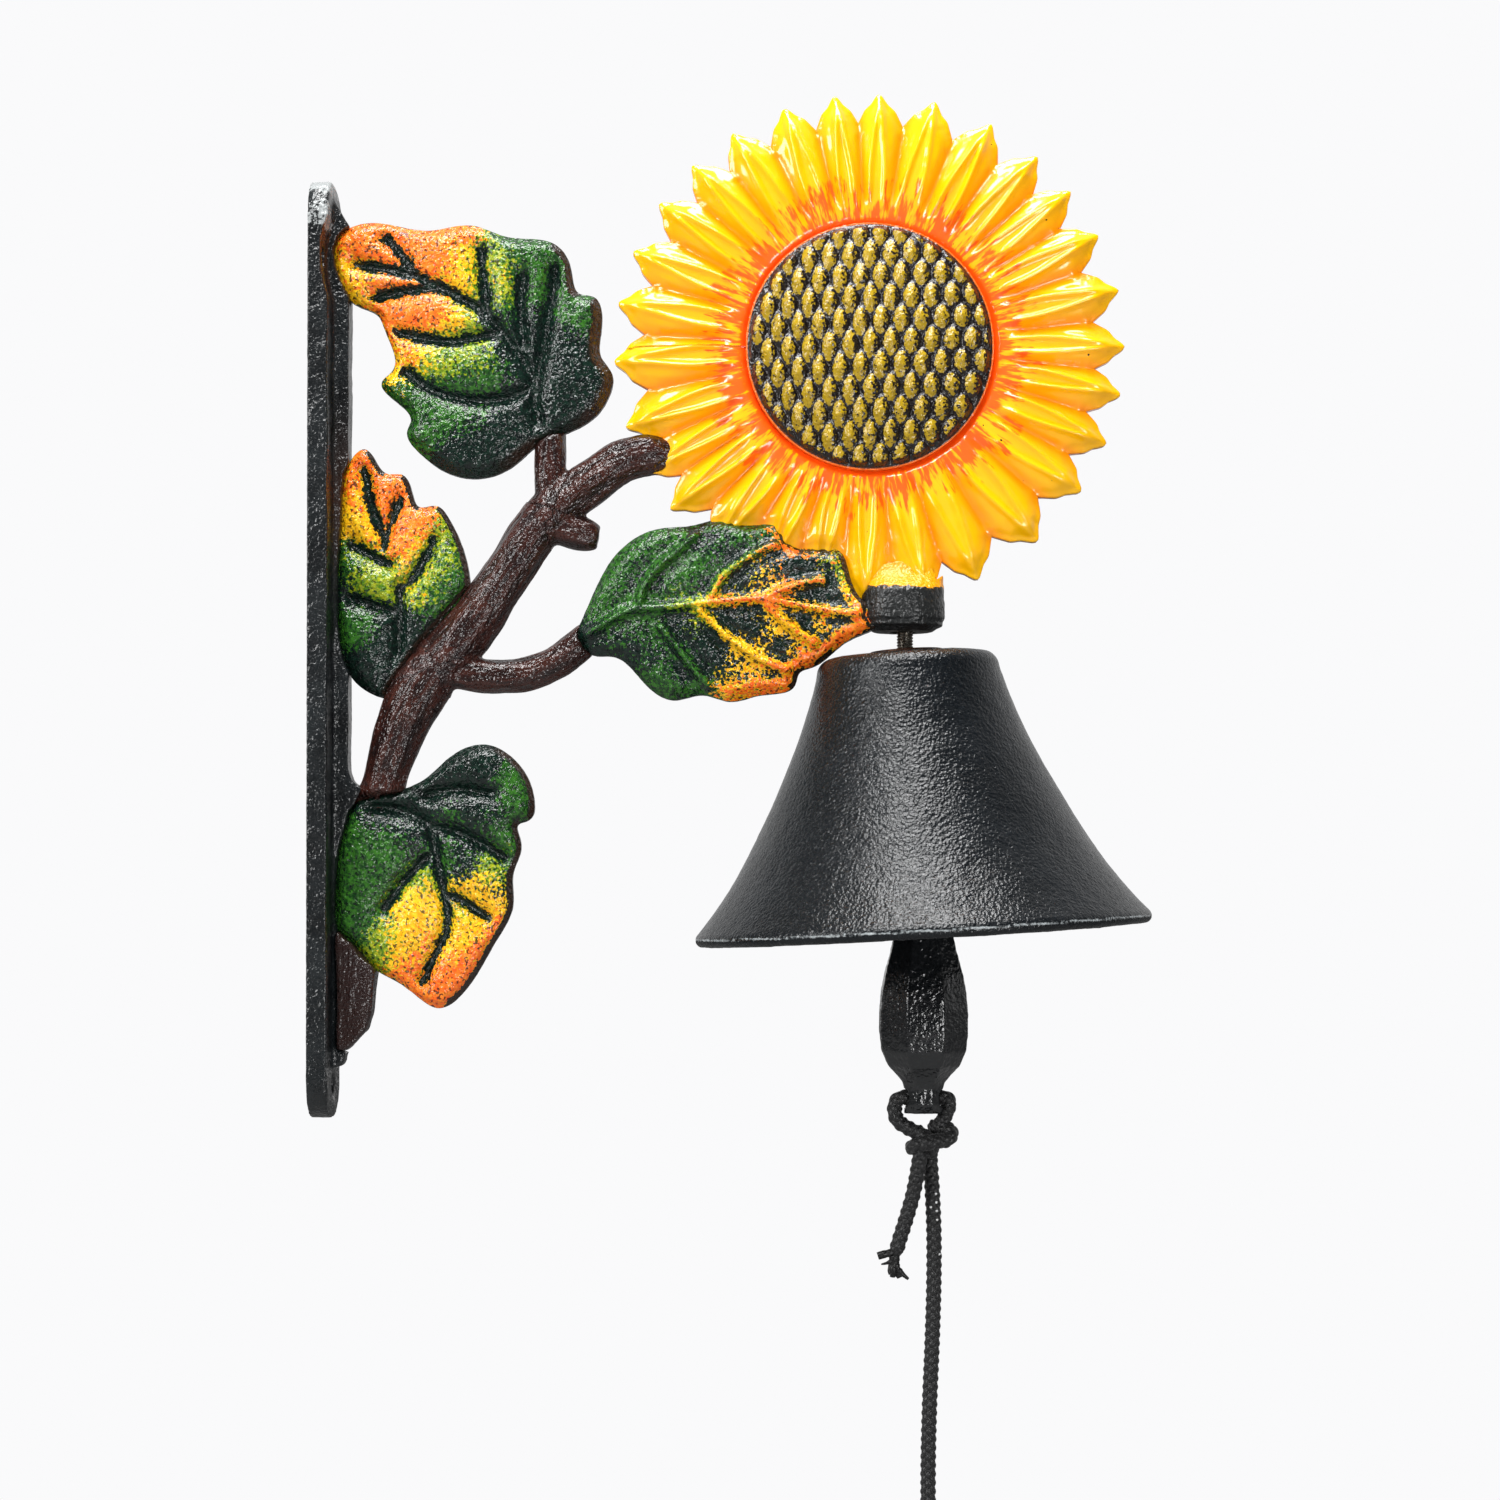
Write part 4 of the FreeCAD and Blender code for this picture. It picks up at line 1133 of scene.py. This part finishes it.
def make_hook():
    """The hook bolt, threaded down to the nut and plain round the hook."""
    low, high = (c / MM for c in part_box("hook_bolt"))
    rod = (high.y - low.y) / 2
    line, marks = evenly(hook_path(low.x + rod, high.z, low.z + rod), 0.07)
    rings, turns = rings_round(line, ROD_SIDES)
    spin, along = np.meshgrid(turns / (2 * math.pi), marks / THREAD_PITCH)
    tooth = np.abs((along - spin) % 1 - 0.5) * 2
    threaded = (marks < high.z + 9.0)[:, None]
    radii = rod - np.where(threaded, THREAD_DEPTH * tooth, 0.0)
    radii[0] *= 0.8
    radii[-1] *= 0.8
    thing = tube("hook_rod", line, radii, rings)
    steel = steel_material("hook_steel", (158, 154, 146), (92, 82, 72), 0.28)
    return dress(thing, steel, "root", "plated_steel", "hook_bolt")


def finish_hardware():
    """The nut and washers keep their CAD shapes, with broken edges."""
    nut = steel_material("nut_steel", (126, 122, 116), (80, 70, 60), 0.3)
    brown = steel_material("washer_steel", (74, 52, 42), (44, 32, 28), 0.42)
    for node, material in (("seat_nut", nut), ("seat_washer", nut), ("crown_washer", brown)):
        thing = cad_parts[node]
        edge = thing.modifiers.new("edge", "BEVEL")
        edge.width = 0.22 * MM
        edge.segments = 3
        edge.limit_method = "ANGLE"
        thing.data.materials.clear()
        thing.data.materials.append(material)


# ---------------- studio
def stage_material():
    """A grey floor that looks as pale as the surround to the camera, so no edge shows."""
    paint = Paint("floor_paint")
    seen = paint.add("ShaderNodeLightPath").outputs["Is Camera Ray"]
    glow = paint.add("ShaderNodeEmission", {"Color": screen(*PALE), "Strength": 1.0})
    shaders = {0: seen, 1: paint.shader.outputs[0], 2: glow.outputs[0]}
    mix = paint.add("ShaderNodeMixShader", shaders)
    output = next(n for n in paint.tree.nodes if n.type == "OUTPUT_MATERIAL")
    paint.feed(output.inputs["Surface"], mix.outputs[0])
    paint.shader.inputs["Base Color"].default_value = (0.22, 0.22, 0.22, 1)
    paint.shader.inputs["Roughness"].default_value = 0.8
    return paint.material


FLOOR_SIZE, FLOOR_LEVEL = 12.0, -0.30
PALE = (250, 250, 251)
AIM = Vector((0.10, 0.0, -0.02))
# Name, place, width, height, watts, and whether it shows in glossy reflections, in metres
LIGHT_BOXES = [
    ("key_box", (-0.06, -0.48, 0.62), 0.30, 0.22, 3.6, True),
    ("left_box", (-0.62, -0.52, 0.24), 0.28, 0.46, 4.4, True),
    ("right_box", (0.46, -0.66, -0.14), 0.26, 0.22, 1.9, True),
    ("top_box", (0.12, -0.17, 0.80), 0.46, 0.30, 7.5, True),
    ("fill_box", (0.10, -1.10, 0.20), 0.9, 0.9, 4.2, False),
]


def make_floor():
    size = FLOOR_SIZE
    sides = [(-size, -size), (size, -size), (size, size), (-size, size)]
    corners = [(x, y, FLOOR_LEVEL) for x, y in sides]
    floor = piece_from("floor", np.array(corners) / MM, [(0, 1, 2, 3)])
    floor.data.materials.append(stage_material())


def make_surround():
    """A surround that is dim in front of the object, bright behind it, and pale to the camera."""
    world = bpy.data.worlds.new("surround")
    bpy.context.scene.world = world
    world.use_nodes = True
    world.node_tree.nodes.clear()
    wires = Wiring(world.node_tree)
    place = wires.add("ShaderNodeTexCoord").outputs["Generated"]
    away = wires.add("ShaderNodeSeparateXYZ", {0: place}).outputs["Y"]
    ends = {"From Min": -0.5, "From Max": 0.6, "To Min": 0.05, "To Max": 0.8}
    depth = wires.add("ShaderNodeMapRange", {"Value": away, **ends})
    light = wires.add("ShaderNodeBackground", {"Strength": depth.outputs[0]})
    seen = wires.add("ShaderNodeBackground", {"Color": screen(*PALE)})
    ray = wires.add("ShaderNodeLightPath").outputs["Is Camera Ray"]
    mix = wires.add("ShaderNodeMixShader", {0: ray, 1: light.outputs[0], 2: seen.outputs[0]})
    wires.add("ShaderNodeOutputWorld", {0: mix.outputs[0]})


def make_lights():
    for name, place, wide, tall, watts, shows in LIGHT_BOXES:
        lamp = bpy.data.lights.new(name, "AREA")
        lamp.shape, lamp.size, lamp.size_y, lamp.energy = "RECTANGLE", wide, tall, watts
        holder = link(name, lamp)
        holder.location = place
        holder.rotation_mode = "QUATERNION"
        holder.rotation_quaternion = (AIM - Vector(place)).to_track_quat("-Z", "Y")
        holder.visible_glossy = shows


def make_camera():
    camera = bpy.data.cameras.new("camera")
    camera.lens = LENS
    camera.sensor_width = 36.0
    camera.shift_y = CAMERA_SHIFT_UP
    camera.clip_start, camera.clip_end = 0.02, 60.0
    holder = link("camera", camera)
    holder.location = CAMERA_AT
    holder.rotation_euler = (math.radians(90 + CAMERA_PITCH), 0, 0)
    bpy.context.scene.camera = holder
    bpy.context.scene.view_settings.view_transform = "Standard"


make_camera()
make_floor()
make_surround()
make_lights()
make_cords()
make_leaves()
make_petals()
make_seed_head()
make_branch()
make_plate()
make_boss()
make_bell()
make_clapper()
make_hook()
finish_hardware()
